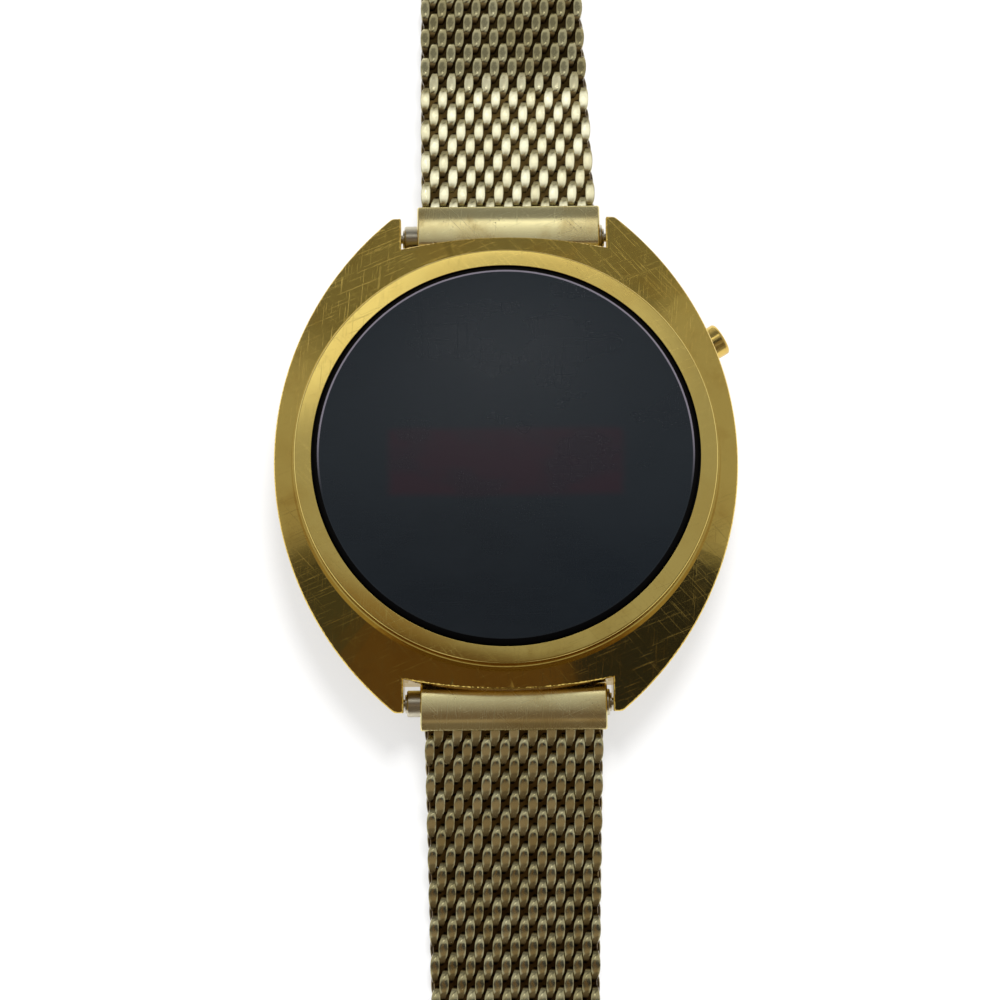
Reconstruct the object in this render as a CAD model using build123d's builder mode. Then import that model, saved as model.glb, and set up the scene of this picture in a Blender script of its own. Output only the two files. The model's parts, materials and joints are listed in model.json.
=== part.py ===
from build123d import *
from math import asin, cos, degrees, radians, sin, tan
import os

os.makedirs("parts", exist_ok=True)

# A gold-plated wristwatch with a light-emitting digital module behind a dark crystal,
# on a woven mesh band with a sliding clasp.
# The origin is the centre of the case back's outer face. +Z points out of the dial and
# +Y towards twelve o'clock. The watch lies on its back, and both halves of the band run
# down from the lugs and lie flat on the table.
# Lengths are in millimetres and angles in degrees.

# Fits and clearances
press_gap = 0.02  # radial gap of a pressed or seated joint
running_gap = 0.05  # radial gap of a turning or sliding joint
link_gap = 0.2  # gap round the rolling end of a link of the band
side_gap = 0.2  # gap beside a moving plate
overrun = 1.0  # how far a cut runs past what it cuts

# Case middle
case_shelf = 1.58  # collar foot to the widest point of the case's side
case_side_radius = 28.9  # each side of the case is one arc
lug_overhang = 1.35  # bar centre to lug tip
lug_tip_round = 0.6
lug_inner_round = 0.4
lug_gap = 18.0
notch_end_stand = 0.48  # collar foot to the wall between two lugs, which bulges outwards
notch_middle_stand = 1.43
case_bottom = 1.0
case_draw = 1.4  # how far the side walls draw in from the crown to the bottom
case_crown = 8.2
crown_slope = 7.0  # the turned top falls away at this angle all round
lug_underside = 2.7
case_flat_reach = 15.5  # the underside is flat out to here
case_edge_round = 0.2
collar_width = 1.94  # crystal edge to collar foot
collar_draft = 0.17
collar_root = 4.8  # how deep the collar's ring goes into the case
collar_top = 9.6
crystal_ledge = 1.33  # the ledge that the crystal rests on

# Crystal, bezel and the gasket between them
crystal_radius = 16.68
crystal_seat = 9.0
crystal_rim_height = 1.45
crystal_bevel = 0.5
crystal_bevel_height = 0.6
gasket_width = 0.25
gasket_drop = 0.05  # the gasket stops this far under the bezel
bezel_gap = 0.08  # radial gap between the crystal and the bezel
bezel_width = 1.57  # crystal edge to the bezel's outer edge
bezel_height = 0.9
bezel_edge_round = 0.22
bezel_lip_bevel = 0.1
bezel_groove_depth = 0.22  # the shadow line between the bezel and the collar
bezel_groove_height = 0.16

# Case back and its gasket
back_flat_radius = 12.6
back_overlap = 1.95  # how far the back reaches past the module's bore
back_edge_rise = 0.6
back_rim_stand = 1.25  # module bore to the snap rim
back_rim_wall = 0.7
back_rim_height = 1.2
back_seal_thickness = 0.4
back_seal_width = 1.1
pry_notch_width = 4.0
pry_notch_depth = 0.5

# Push button, at two o'clock
button_angle = 31.0
button_height = 4.9
button_radius = 1.45
button_stand = 2.1  # how far the button stands out past the case's half width
button_head_length = 3.4
button_edge_round = 0.28
stem_radius = 0.6
stem_overhang = 1.05  # how far the stem reaches into the module's bore
button_tube_radius = 1.92
button_tube_wall = 1.25  # module bore to the tube's inner end
button_tube_stand = 0.3  # case half width to the tube's outer end
button_tube_floor = 0.8
button_spring_radius = 1.05
button_spring_wire_radius = 0.1
button_spring_pitch = 0.38
clip_radius = 1.15
clip_thickness = 0.3
clip_mouth = 0.7

# Display: mask under the crystal, lens, light-emitting digits and their substrate
mask_gap = 0.15  # between the mask and the module's bore
mask_thickness = 0.4
window_width = 20.4
window_height = 5.9
display_drop = 0.8  # the display sits this far below the dial's centre
lens_width = 20.1
lens_height = 5.6
lens_base = 0.6
lens_pocket_depth = 0.25
lens_wall = 0.6
lens_bulge_rise = 0.4
substrate_width = 21.0
substrate_height = 6.6
substrate_thickness = 0.8
digit_width = 2.0
digit_height = 3.4
digit_bar = 0.36
digit_bar_thickness = 0.12
digit_bar_gap = 0.12
digit_pitch = 4.3
colon_pitch = 1.5  # between the colon's two dots
hour_minute_gap = 5.6  # between the two middle digits' centres

# Module: circuit board, frame, cells and the small parts under the board
board_gap = 0.45  # between the board and the module's bore
board_base = 6.2
board_thickness = 0.6
frame_gap = 0.25  # between the frame and the module's bore
frame_base = 2.3
frame_edge_bevel = 0.3
cell_share = 0.384  # a cell's radius as a share of the frame's
cell_well_gap = 0.15
cell_height = 3.6
cell_drop_share = 0.305  # how far the cells sit below the middle, as a share of the frame's radius
cell_edge_round = 0.35
contact_width = 2.4
contact_length = 7.0
pocket_width = 14.5
pocket_height = 9.0
pocket_shift = -0.75
pocket_lift = 7.1
pocket_round = 1.0
chip_width = 7.0
chip_height = 5.0
chip_thickness = 1.4
chip_shift = -3.6
chip_lift = 8.2
chip_bevel = 0.2
quartz_radius = 1.0
quartz_length = 6.2
quartz_shift = 2.0
quartz_lift = 4.1
trimmer_size = 2.8
trimmer_thickness = 1.3
trimmer_rotor_radius = 1.05
trimmer_rotor_rise = 0.3
trimmer_slot = 0.35
trimmer_shift = 3.4
trimmer_lift = 8.6
clamp_length = 17.0
clamp_width = 4.4
clamp_thickness = 0.25
clamp_bridge_width = 3.0
screw_spread = 5.5  # each clamp screw from the line of the cells
screw_radius = 0.5
screw_depth = 2.2
screw_head_radius = 0.95
screw_head_height = 0.4
screw_slot = 0.25
screw_slot_depth = 0.2
switch_slot_width = 3.6
switch_slot_depth = 2.45  # from the module's bore inwards
leaf_inset = 1.8  # from the module's bore inwards
leaf_width = 2.4
leaf_thickness = 0.15
leaf_foot = 1.2
leaf_drop = 2.4

# Spring bars
bar_stand = 2.18  # collar foot to bar centre
bar_height = 4.9
bar_radius = 1.15
bar_bore_radius = 0.85
bar_end_gap = 0.25  # between the bar's tube and a lug
bar_edge_round = 0.15
tip_shoulder_radius = 0.8
tip_shoulder_length = 2.15
tip_shoulder_stand = 0.15  # how far the shoulder stands out of the tube
tip_pin_radius = 0.38
tip_pin_length = 0.68
tip_edge_round = 0.12
lug_hole_radius = 0.42
lug_hole_depth = 0.7
bar_spring_radius = 0.55
bar_spring_wire_radius = 0.1
bar_spring_pitch = 0.8

# End pieces, which turn on the spring bars and hold the mesh
band_shift = 0.45  # the band has slid this far along its bars
end_piece_clear = 1.8  # how much narrower than the lug gap, so that it can slide
end_barrel_radius = 1.7  # also half the end piece's thickness
end_piece_reach = 2.95  # bar centre to the end piece's outer face
end_outer_round = 0.8
end_side_round = 0.25
swing_gap = 0.3  # between the barrel and the hollow in the case

# Mesh band, in links of a few coils each
coil_pitch = 1.55
coils_per_link = 7
top_links = 6
bottom_links = 8
tail_coils = 20
mesh_thickness = 1.6
mesh_columns = 19  # half turns of each coil: its wire shows in every second one
wire_share = 0.9  # width of a wire where it shows, of its column's width
crown_reach = 1.5  # from a coil's middle to where its wire turns under
mesh_core = 0.5  # the solid middle, where the wires cross
mesh_start_clear = 0.3  # how much narrower than the end piece
mesh_end_width = 12.6
first_hinge_reach = 3.25  # bar centre to the first hinge line
table_gap = 0.05
top_end_slope = -5.0
top_first_slope = -8.0
bottom_end_slope = -12.0
bottom_first_slope = -12.0

# Hook end on the twelve o'clock half
ferrule_width = 13.4
ferrule_length = 4.6
ferrule_thickness = 2.2
ferrule_round = 0.4
arm_width = 1.2
arm_length = 2.6
hook_bar_radius = 0.4

# Sliding clasp on the six o'clock half
tip_length = 1.4
tip_thickness = 2.0
slider_end_gap = 2.0  # from the slider to the tail's end, as it lies
slider_length = 16.0
slider_floor = 0.4
slider_wall = 0.5
slider_roof = 0.5
slider_gap = 0.15  # above and below the mesh
slider_round = 0.12
ear_length = 2.8
ear_rise = 1.3  # above the slider's roof
lever_pin_radius = 0.4
lever_pin_rise = 0.4
lever_pin_inset = 2.6
lever_barrel_radius = 0.95
lever_end_gap = 1.8  # from the lever's end to the slider's
lever_thickness = 0.8
lever_lift = 0.1  # between the lever and the roof
lever_nose = 0.5
cam_window_length = 2.5
hook_ear_length = 1.6
hook_pin_rise = 0.5
hook_pin_inset = 0.7
hook_barrel_radius = 0.7
hook_plate_length = 13.4
hook_plate_thickness = 0.6
hook_depth = 1.95
hook_lip = 1.6
hook_wall = 0.55

# Heights, reaches and radii that follow from the sizes above
collar_foot_radius = crystal_radius + collar_width
collar_top_radius = collar_foot_radius - collar_draft
bezel_radius = crystal_radius + bezel_width
module_bore_radius = crystal_radius - crystal_ledge
mask_radius = module_bore_radius - mask_gap
board_radius = module_bore_radius - board_gap
frame_radius = module_bore_radius - frame_gap
cell_radius = frame_radius * cell_share
cell_spread = cell_radius + 2 * cell_well_gap
cell_drop = frame_radius * cell_drop_share
back_radius = module_bore_radius + back_overlap
back_rim_radius = module_bore_radius + back_rim_stand
case_half_width = collar_foot_radius + case_shelf
bar_reach = collar_foot_radius + bar_stand
lug_reach = bar_reach + lug_overhang
notch_end_reach = collar_foot_radius + notch_end_stand
notch_middle_reach = collar_foot_radius + notch_middle_stand
button_reach = case_half_width + button_stand
stem_end_reach = module_bore_radius - stem_overhang
button_tube_start = module_bore_radius + button_tube_wall
button_tube_end = case_half_width + button_tube_stand
switch_slot_start = module_bore_radius - switch_slot_depth
leaf_reach = module_bore_radius - leaf_inset
bar_length = lug_gap - 2 * bar_end_gap
end_piece_width = lug_gap - end_piece_clear
mesh_start_width = end_piece_width - mesh_start_clear
case_side_shift = case_side_radius - case_half_width
cone_reach = lug_reach + lug_gap / 2
crown_apex = case_crown + collar_foot_radius * tan(radians(crown_slope))
pocket_radius = crystal_radius + gasket_width + 2 * press_gap
rim_pocket_radius = back_rim_radius + press_gap
rim_pocket_top = case_bottom + back_rim_height + back_seal_thickness
undercut_radius = end_barrel_radius + swing_gap
board_top = board_base + board_thickness
substrate_top = board_top + substrate_thickness
lens_top = substrate_top + lens_base
mask_base = crystal_seat - mask_thickness
frame_height = board_base - frame_base
link_length = coil_pitch * coils_per_link
tail_length = coil_pitch * tail_coils
slider_start = tail_length - slider_end_gap - slider_length
lever_length = slider_length - lever_pin_inset - lever_end_gap
mesh_half = mesh_thickness / 2
flat_mesh_height = mesh_half + table_gap
tail_height = slider_floor + slider_gap + flat_mesh_height
ferrule_height = ferrule_thickness / 2 + table_gap
button_axis = Plane(
    origin=(0, 0, button_height),
    x_dir=(-sin(radians(button_angle)), cos(radians(button_angle)), 0),
    z_dir=(cos(radians(button_angle)), sin(radians(button_angle)), 0),
)

# Case middle: two arcs for the sides, cut square at the lug tips, hollow for the module
with BuildPart() as case_middle:
    with BuildSketch() as case_outline:
        with Locations((-case_side_shift, 0)):
            Circle(case_side_radius)
        with Locations((case_side_shift, 0)):
            Circle(case_side_radius, mode=Mode.INTERSECT)
        Rectangle(2 * case_half_width + overrun, 2 * lug_reach, mode=Mode.INTERSECT)
        fillet(case_outline.vertices(), lug_tip_round)
    extrude(amount=case_crown)
    # The notches between the lugs, with the lugs' inner corners rounded
    with BuildSketch():
        for side in (1, -1):
            with BuildLine():
                floor = ThreePointArc(
                    (-lug_gap / 2, side * notch_end_reach),
                    (0, side * notch_middle_reach),
                    (lug_gap / 2, side * notch_end_reach),
                )
                Polyline(
                    floor @ 1,
                    (lug_gap / 2, side * (lug_reach + overrun)),
                    (-lug_gap / 2, side * (lug_reach + overrun)),
                    floor @ 0,
                )
            make_face()
    extrude(amount=case_crown, mode=Mode.SUBTRACT)
    upright = case_middle.edges().filter_by(Axis.Z)
    notch_half = lug_gap / 2 + press_gap
    notch_edges = upright.filter_by_position(Axis.X, -notch_half, notch_half)
    fillet(notch_edges.group_by(Axis.Y)[0] + notch_edges.group_by(Axis.Y)[-1], lug_inner_round)
    # The side walls draw in towards the wrist
    with BuildSketch(Plane.XY.offset(case_bottom)):
        add(case_outline.sketch_local)
        offset(amount=-case_draw, kind=Kind.ARC, mode=Mode.REPLACE)
    with BuildSketch(Plane.XY.offset(case_crown)):
        add(case_outline.sketch_local)
    loft(mode=Mode.INTERSECT)
    # The side view below: flat in the middle, with lugs that lift off the wrist
    with BuildSketch(Plane.YZ):
        with BuildLine():
            Polyline(
                (-lug_reach - overrun, case_crown),
                (lug_reach + overrun, case_crown),
                (lug_reach + overrun, lug_underside),
                (case_flat_reach, case_bottom),
                (-case_flat_reach, case_bottom),
                (-lug_reach - overrun, lug_underside),
                close=True,
            )
        make_face()
    extrude(amount=case_half_width + overrun, both=True, mode=Mode.INTERSECT)
    # The top is turned to a flat cone outside the collar
    with BuildSketch(Plane.XZ):
        with BuildLine():
            Polyline(
                (0, 0),
                (cone_reach, 0),
                (cone_reach, crown_apex - cone_reach * tan(radians(crown_slope))),
                (0, crown_apex),
                close=True,
            )
        make_face()
    revolve(axis=Axis.Z, mode=Mode.INTERSECT)
    crown = case_middle.faces().filter_by(GeomType.CONE).sort_by(SortBy.AREA)[-1]
    crown_edges = crown.edges().filter_by(GeomType.LINE, reverse=True)
    fillet(crown_edges.filter_by(GeomType.CIRCLE, reverse=True), case_edge_round)
    with BuildSketch(Plane.YZ):
        with Locations((bar_reach, bar_height), (-bar_reach, bar_height)):
            Circle(undercut_radius)
        with Locations((bar_reach, bar_height / 2), (-bar_reach, bar_height / 2)):
            Rectangle(2 * undercut_radius, bar_height)
    extrude(amount=lug_gap / 2, both=True, mode=Mode.SUBTRACT)
    with BuildSketch(Plane.YZ):
        with Locations((bar_reach, bar_height), (-bar_reach, bar_height)):
            Circle(lug_hole_radius)
    extrude(amount=lug_gap / 2 + lug_hole_depth, both=True, mode=Mode.SUBTRACT)
    # The collar that carries the bezel, then the bores for module, crystal and case back
    with BuildSketch(Plane.XZ):
        with BuildLine():
            Polyline(
                (module_bore_radius, case_crown - collar_root),
                (collar_foot_radius, case_crown - collar_root),
                (collar_foot_radius, case_crown),
                (collar_top_radius, collar_top),
                (module_bore_radius, collar_top),
                close=True,
            )
        make_face()
    revolve(axis=Axis.Z)
    with BuildSketch(Plane.XY):
        Circle(module_bore_radius)
    extrude(amount=collar_top + overrun, mode=Mode.SUBTRACT)
    with BuildSketch(Plane.XY.offset(crystal_seat)):
        Circle(pocket_radius)
    extrude(amount=collar_top - crystal_seat + overrun, mode=Mode.SUBTRACT)
    with BuildSketch(Plane.XY.offset(rim_pocket_top)):
        Circle(rim_pocket_radius)
    extrude(amount=-rim_pocket_top, mode=Mode.SUBTRACT)
    with BuildSketch(button_axis.offset(module_bore_radius - overrun)):
        Circle(button_tube_radius + press_gap)
    extrude(amount=button_reach - module_bore_radius + overrun, mode=Mode.SUBTRACT)
case_middle.part.label = "case_middle"
export_step(case_middle.part, "parts/case_middle.step")

# Bezel: a polished ring with a bright inner lip and a shadow groove over the collar
with BuildPart() as bezel:
    bezel_inner_radius = crystal_radius + bezel_gap
    bezel_top = collar_top + bezel_height
    with BuildSketch(Plane.XZ):
        with BuildLine():
            Polyline(
                (bezel_inner_radius, collar_top),
                (bezel_radius - bezel_groove_depth, collar_top),
                (bezel_radius - bezel_groove_depth, collar_top + bezel_groove_height),
                (bezel_radius, collar_top + bezel_groove_height),
                (bezel_radius, bezel_top),
                (bezel_inner_radius, bezel_top),
                close=True,
            )
        make_face()
    revolve(axis=Axis.Z)
    rims = bezel.edges().group_by(Axis.Z)[-1].sort_by(SortBy.RADIUS)
    fillet(rims[-1], bezel_edge_round)
    chamfer(rims[0], bezel_lip_bevel)
bezel.part.label = "bezel"
export_step(bezel.part, "parts/bezel.step")

# Crystal: a flat dark disc with a bevelled rim
with BuildPart() as crystal:
    rim_top = crystal_seat + crystal_rim_height
    crystal_top = rim_top + crystal_bevel_height
    with BuildSketch(Plane.XZ):
        with BuildLine():
            Polyline(
                (0, crystal_seat),
                (crystal_radius, crystal_seat),
                (crystal_radius, rim_top),
                (crystal_radius - crystal_bevel, crystal_top),
                (0, crystal_top),
                close=True,
            )
        make_face()
    revolve(axis=Axis.Z)
crystal.part.label = "crystal"
export_step(crystal.part, "parts/crystal.step")

# Crystal gasket: the soft ring between the crystal and the case
with BuildPart() as crystal_gasket:
    with BuildSketch(Plane.XY.offset(crystal_seat)):
        Circle(crystal_radius + press_gap + gasket_width)
        Circle(crystal_radius + press_gap, mode=Mode.SUBTRACT)
    extrude(amount=collar_top - crystal_seat - gasket_drop)
crystal_gasket.part.label = "crystal_gasket"
export_step(crystal_gasket.part, "parts/crystal_gasket.step")

# Case back: a snap-on cover with a flat middle, a snap rim and a pry notch
with BuildPart() as case_back:
    rim_inner_radius = back_rim_radius - back_rim_wall
    with BuildSketch(Plane.XZ):
        with BuildLine():
            Polyline(
                (0, 0),
                (back_flat_radius, 0),
                (back_radius, back_edge_rise),
                (back_radius, case_bottom),
                (back_rim_radius, case_bottom),
                (back_rim_radius, case_bottom + back_rim_height),
                (rim_inner_radius, case_bottom + back_rim_height),
                (rim_inner_radius, case_bottom),
                (0, case_bottom),
                close=True,
            )
        make_face()
    revolve(axis=Axis.Z)
    with BuildSketch(Plane.XY.offset(back_edge_rise)):
        with Locations((-back_radius, 0)):
            Rectangle(2 * pry_notch_depth, pry_notch_width)
    extrude(amount=case_bottom - back_edge_rise, mode=Mode.SUBTRACT)
case_back.part.label = "case_back"
export_step(case_back.part, "parts/case_back.step")

# Back gasket: a flat ring squeezed between the snap rim and the case
with BuildPart() as back_gasket:
    with BuildSketch(Plane.XY.offset(case_bottom + back_rim_height)):
        Circle(back_rim_radius)
        Circle(back_rim_radius - back_seal_width, mode=Mode.SUBTRACT)
    extrude(amount=back_seal_thickness)
back_gasket.part.label = "back_gasket"
export_step(back_gasket.part, "parts/back_gasket.step")

# Button tube: pressed into the case wall, with a floor that the stem runs through
with BuildPart() as button_tube:
    with BuildSketch(button_axis.offset(button_tube_start)):
        Circle(button_tube_radius)
        Circle(stem_radius + running_gap, mode=Mode.SUBTRACT)
    extrude(amount=button_tube_end - button_tube_start)
    with BuildSketch(button_axis.offset(button_tube_start + button_tube_floor)):
        Circle(button_radius + running_gap)
    extrude(amount=button_tube_end - button_tube_start, mode=Mode.SUBTRACT)
button_tube.part.label = "button_tube"
export_step(button_tube.part, "parts/button_tube.step")

# Push button: a round head on a thin stem that reaches in to the switch
with BuildPart() as push_button:
    with BuildSketch(button_axis.offset(button_reach - button_head_length)):
        Circle(button_radius)
    extrude(amount=button_head_length)
    outer_face = push_button.faces().sort_by(Axis(button_axis.origin, button_axis.z_dir))[-1]
    fillet(outer_face.edges(), button_edge_round)
    with BuildSketch(button_axis.offset(stem_end_reach)):
        Circle(stem_radius)
    extrude(amount=button_reach - button_head_length - stem_end_reach)
push_button.part.label = "push_button"
export_step(push_button.part, "parts/push_button.step")

# Button clip: an open ring on the stem that keeps the button in its tube
with BuildPart() as button_clip:
    clip_start = button_tube_start - running_gap - clip_thickness
    with BuildSketch(button_axis.offset(clip_start)):
        Circle(clip_radius)
        Circle(stem_radius + press_gap, mode=Mode.SUBTRACT)
        with Locations((clip_radius, 0)):
            Rectangle(2 * clip_radius, clip_mouth, mode=Mode.SUBTRACT)
    extrude(amount=clip_thickness)
button_clip.part.label = "button_clip"
export_step(button_clip.part, "parts/button_clip.step")

# Button spring: a small coil between the tube's floor and the button's head
with BuildPart() as button_spring:
    spring_start = button_tube_start + button_tube_floor + button_spring_wire_radius
    spring_end = button_reach - button_head_length - button_spring_wire_radius
    with BuildLine() as button_coil:
        Helix(
            pitch=button_spring_pitch,
            height=spring_end - spring_start,
            radius=button_spring_radius,
            center=button_axis.origin + button_axis.z_dir * spring_start,
            direction=button_axis.z_dir,
        )
    with BuildSketch(Plane(origin=button_coil.line @ 0, z_dir=button_coil.line % 0)):
        Circle(button_spring_wire_radius)
    sweep(path=button_coil.line, is_frenet=True)
button_spring.part.label = "button_spring"
export_step(button_spring.part, "parts/button_spring.step")

# Display mask: a thin dark disc under the crystal with the display's window
with BuildPart() as display_mask:
    with BuildSketch(Plane.XY.offset(mask_base)):
        Circle(mask_radius)
        with Locations((0, -display_drop)):
            Rectangle(window_width, window_height, mode=Mode.SUBTRACT)
    extrude(amount=mask_thickness)
display_mask.part.label = "display_mask"
export_step(display_mask.part, "parts/display_mask.step")

# Digit places: two pairs with a colon between them
digit_places = [
    (side * (hour_minute_gap / 2 + step * digit_pitch), -display_drop)
    for side in (-1, 1)
    for step in (0, 1)
]

# Display lens: a clear cover with a bulge over each digit
with BuildPart() as display_lens:
    with BuildSketch(Plane.XY.offset(substrate_top)):
        with Locations((0, -display_drop)):
            Rectangle(lens_width, lens_height)
    extrude(amount=lens_base)
    with BuildSketch(Plane.XY.offset(substrate_top)):
        with Locations((0, -display_drop)):
            Rectangle(lens_width - 2 * lens_wall, lens_height - 2 * lens_wall)
    extrude(amount=lens_pocket_depth, mode=Mode.SUBTRACT)
    for x, y in digit_places:
        with BuildSketch(Plane.XZ.offset(-y)):
            with BuildLine():
                bulge = ThreePointArc(
                    (x - digit_width, lens_top),
                    (x, lens_top + lens_bulge_rise),
                    (x + digit_width, lens_top),
                )
                Line(bulge @ 1, bulge @ 0)
            make_face()
        extrude(amount=lens_height / 2 - lens_wall, both=True)
display_lens.part.label = "display_lens"
export_step(display_lens.part, "parts/display_lens.step")

# Substrate of the display
with BuildPart() as led_substrate:
    with BuildSketch(Plane.XY.offset(board_top)):
        with Locations((0, -display_drop)):
            Rectangle(substrate_width, substrate_height)
    extrude(amount=substrate_thickness)
led_substrate.part.label = "led_substrate"
export_step(led_substrate.part, "parts/led_substrate.step")

# Digits: seven light-emitting bars each, and the colon's two dots
with BuildPart() as led_digits:
    with BuildSketch(Plane.XY.offset(substrate_top)):
        with Locations(*digit_places):
            with Locations((0, digit_height / 2), (0, 0), (0, -digit_height / 2)):
                Rectangle(digit_width - digit_bar - 2 * digit_bar_gap, digit_bar)
            with GridLocations(digit_width, digit_height / 2, 2, 2):
                Rectangle(digit_bar, digit_height / 2 - digit_bar - 2 * digit_bar_gap)
        with Locations((0, -display_drop)):
            with GridLocations(0, colon_pitch, 1, 2):
                Circle(digit_bar / 2)
    extrude(amount=digit_bar_thickness)
led_digits.part.label = "led_digits"
export_step(led_digits.part, "parts/led_digits.step")

# Circuit board, with a flat where the switch leaf passes
with BuildPart() as circuit_board:
    with BuildSketch(Plane.XY.offset(board_base)):
        Circle(board_radius)
    extrude(amount=board_thickness)
circuit_board.part.label = "circuit_board"
export_step(circuit_board.part, "parts/circuit_board.step")

# Module frame: a moulded ring with two cell wells, a pocket for the small parts, and a
# slot for the switch leaf and the button's stem
cell_places = [(-cell_spread, -cell_drop), (cell_spread, -cell_drop)]
screw_places = [(0, -cell_drop + screw_spread), (0, -cell_drop - screw_spread)]
with BuildPart() as module_frame:
    with BuildSketch(Plane.XY.offset(frame_base)):
        Circle(frame_radius)
    extrude(amount=frame_height)
    chamfer(module_frame.edges().group_by(Axis.Z)[0], frame_edge_bevel)
    with BuildSketch(Plane.XY.offset(frame_base)):
        with Locations(*cell_places):
            Circle(cell_radius + cell_well_gap)
        with Locations(*screw_places):
            Circle(screw_radius + press_gap)
    extrude(amount=frame_height, mode=Mode.SUBTRACT)
    with BuildSketch(Plane.XY.offset(board_base)):
        with Locations((pocket_shift, pocket_lift)):
            RectangleRounded(pocket_width, pocket_height, pocket_round)
    extrude(amount=-frame_height / 2 - quartz_radius, mode=Mode.SUBTRACT)
    with BuildSketch(button_axis.offset(switch_slot_start)):
        Rectangle(switch_slot_width, 2 * frame_height)
    extrude(amount=frame_radius - switch_slot_start + overrun, mode=Mode.SUBTRACT)
module_frame.part.label = "module_frame"
export_step(module_frame.part, "parts/module_frame.step")

# Two button cells, each with its narrower can end towards the board
for name, place in zip(("cell_left", "cell_right"), cell_places):
    with BuildPart() as cell:
        with BuildSketch(Plane.XY.offset(frame_base)):
            with Locations(place):
                Circle(cell_radius)
        extrude(amount=cell_height)
        fillet(cell.edges().group_by(Axis.Z)[0], cell_edge_round)
        fillet(cell.edges().group_by(Axis.Z)[-1], cell_edge_round)
    cell.part.label = name
    export_step(cell.part, f"parts/{name}.step")

# Cell contacts: two strips under the board that the cells press on
with BuildPart() as cell_contacts:
    with BuildSketch(Plane.XY.offset(frame_base + cell_height)):
        with Locations(*cell_places):
            Rectangle(contact_length, contact_width)
    extrude(amount=frame_height - cell_height)
cell_contacts.part.label = "cell_contacts"
export_step(cell_contacts.part, "parts/cell_contacts.step")

# Driver chip under the board
with BuildPart() as driver_chip:
    with BuildSketch(Plane.XY.offset(board_base)):
        with Locations((chip_shift, chip_lift)):
            Rectangle(chip_width, chip_height)
    extrude(amount=-chip_thickness)
    chamfer(driver_chip.edges().group_by(Axis.Z)[0], chip_bevel)
driver_chip.part.label = "driver_chip"
export_step(driver_chip.part, "parts/driver_chip.step")

# Quartz can, lying against the board
with BuildPart() as quartz_can:
    with BuildSketch(Plane.YZ.offset(quartz_shift - quartz_length / 2)):
        with Locations((quartz_lift, board_base - quartz_radius)):
            Circle(quartz_radius)
    extrude(amount=quartz_length)
    fillet(quartz_can.edges().filter_by(GeomType.CIRCLE), quartz_radius / 4)
quartz_can.part.label = "quartz_can"
export_step(quartz_can.part, "parts/quartz_can.step")

# Trimmer: a square body with a slotted rotor for setting the rate
with BuildPart() as trimmer:
    with BuildSketch(Plane.XY.offset(board_base)):
        with Locations((trimmer_shift, trimmer_lift)):
            Rectangle(trimmer_size, trimmer_size)
    extrude(amount=-trimmer_thickness)
    with BuildSketch(Plane.XY.offset(board_base - trimmer_thickness)):
        with Locations((trimmer_shift, trimmer_lift)):
            Circle(trimmer_rotor_radius)
            Rectangle(2 * trimmer_rotor_radius, trimmer_slot, mode=Mode.SUBTRACT)
    extrude(amount=-trimmer_rotor_rise)
trimmer.part.label = "trimmer"
export_step(trimmer.part, "parts/trimmer.step")

# Cell clamp: a thin strap across both cells, held by two screws
with BuildPart() as cell_clamp:
    with BuildSketch(Plane.XY.offset(frame_base)):
        with Locations((0, -cell_drop)):
            RectangleRounded(clamp_length, clamp_width, clamp_width / 4)
            RectangleRounded(
                clamp_bridge_width, 2 * screw_spread + clamp_bridge_width, clamp_bridge_width / 4
            )
        with Locations(*screw_places):
            Circle(screw_radius + press_gap, mode=Mode.SUBTRACT)
    extrude(amount=-clamp_thickness)
cell_clamp.part.label = "cell_clamp"
export_step(cell_clamp.part, "parts/cell_clamp.step")

# Clamp screws: two slotted screws from the back
with BuildPart() as clamp_screws:
    clamp_face = frame_base - clamp_thickness
    with BuildSketch(Plane.XY.offset(clamp_face)):
        with Locations(*screw_places):
            Circle(screw_radius)
    extrude(amount=clamp_thickness + screw_depth)
    with BuildSketch(Plane.XY.offset(clamp_face)):
        with Locations(*screw_places):
            Circle(screw_head_radius)
    extrude(amount=-screw_head_height)
    with BuildSketch(Plane.XY.offset(clamp_face - screw_head_height)):
        with Locations(*screw_places):
            Rectangle(2 * screw_head_radius, screw_slot)
    extrude(amount=screw_slot_depth, mode=Mode.SUBTRACT)
clamp_screws.part.label = "clamp_screws"
export_step(clamp_screws.part, "parts/clamp_screws.step")

# Switch leaf: a bent strip under the board that the stem pushes
with BuildPart() as switch_leaf:
    leaf_top = Plane(
        origin=button_axis.origin + button_axis.z_dir * leaf_reach,
        x_dir=button_axis.x_dir,
        z_dir=button_axis.z_dir,
    )
    blade_middle = board_base - leaf_drop / 2 - button_height
    foot_middle = board_base - leaf_thickness / 2 - button_height
    with BuildSketch(leaf_top):
        with Locations((0, blade_middle)):
            Rectangle(leaf_width, leaf_drop)
    extrude(amount=leaf_thickness)
    with BuildSketch(leaf_top):
        with Locations((0, foot_middle)):
            Rectangle(leaf_width, leaf_thickness)
    extrude(amount=leaf_thickness + leaf_foot)
switch_leaf.part.label = "switch_leaf"
export_step(switch_leaf.part, "parts/switch_leaf.step")

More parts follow.
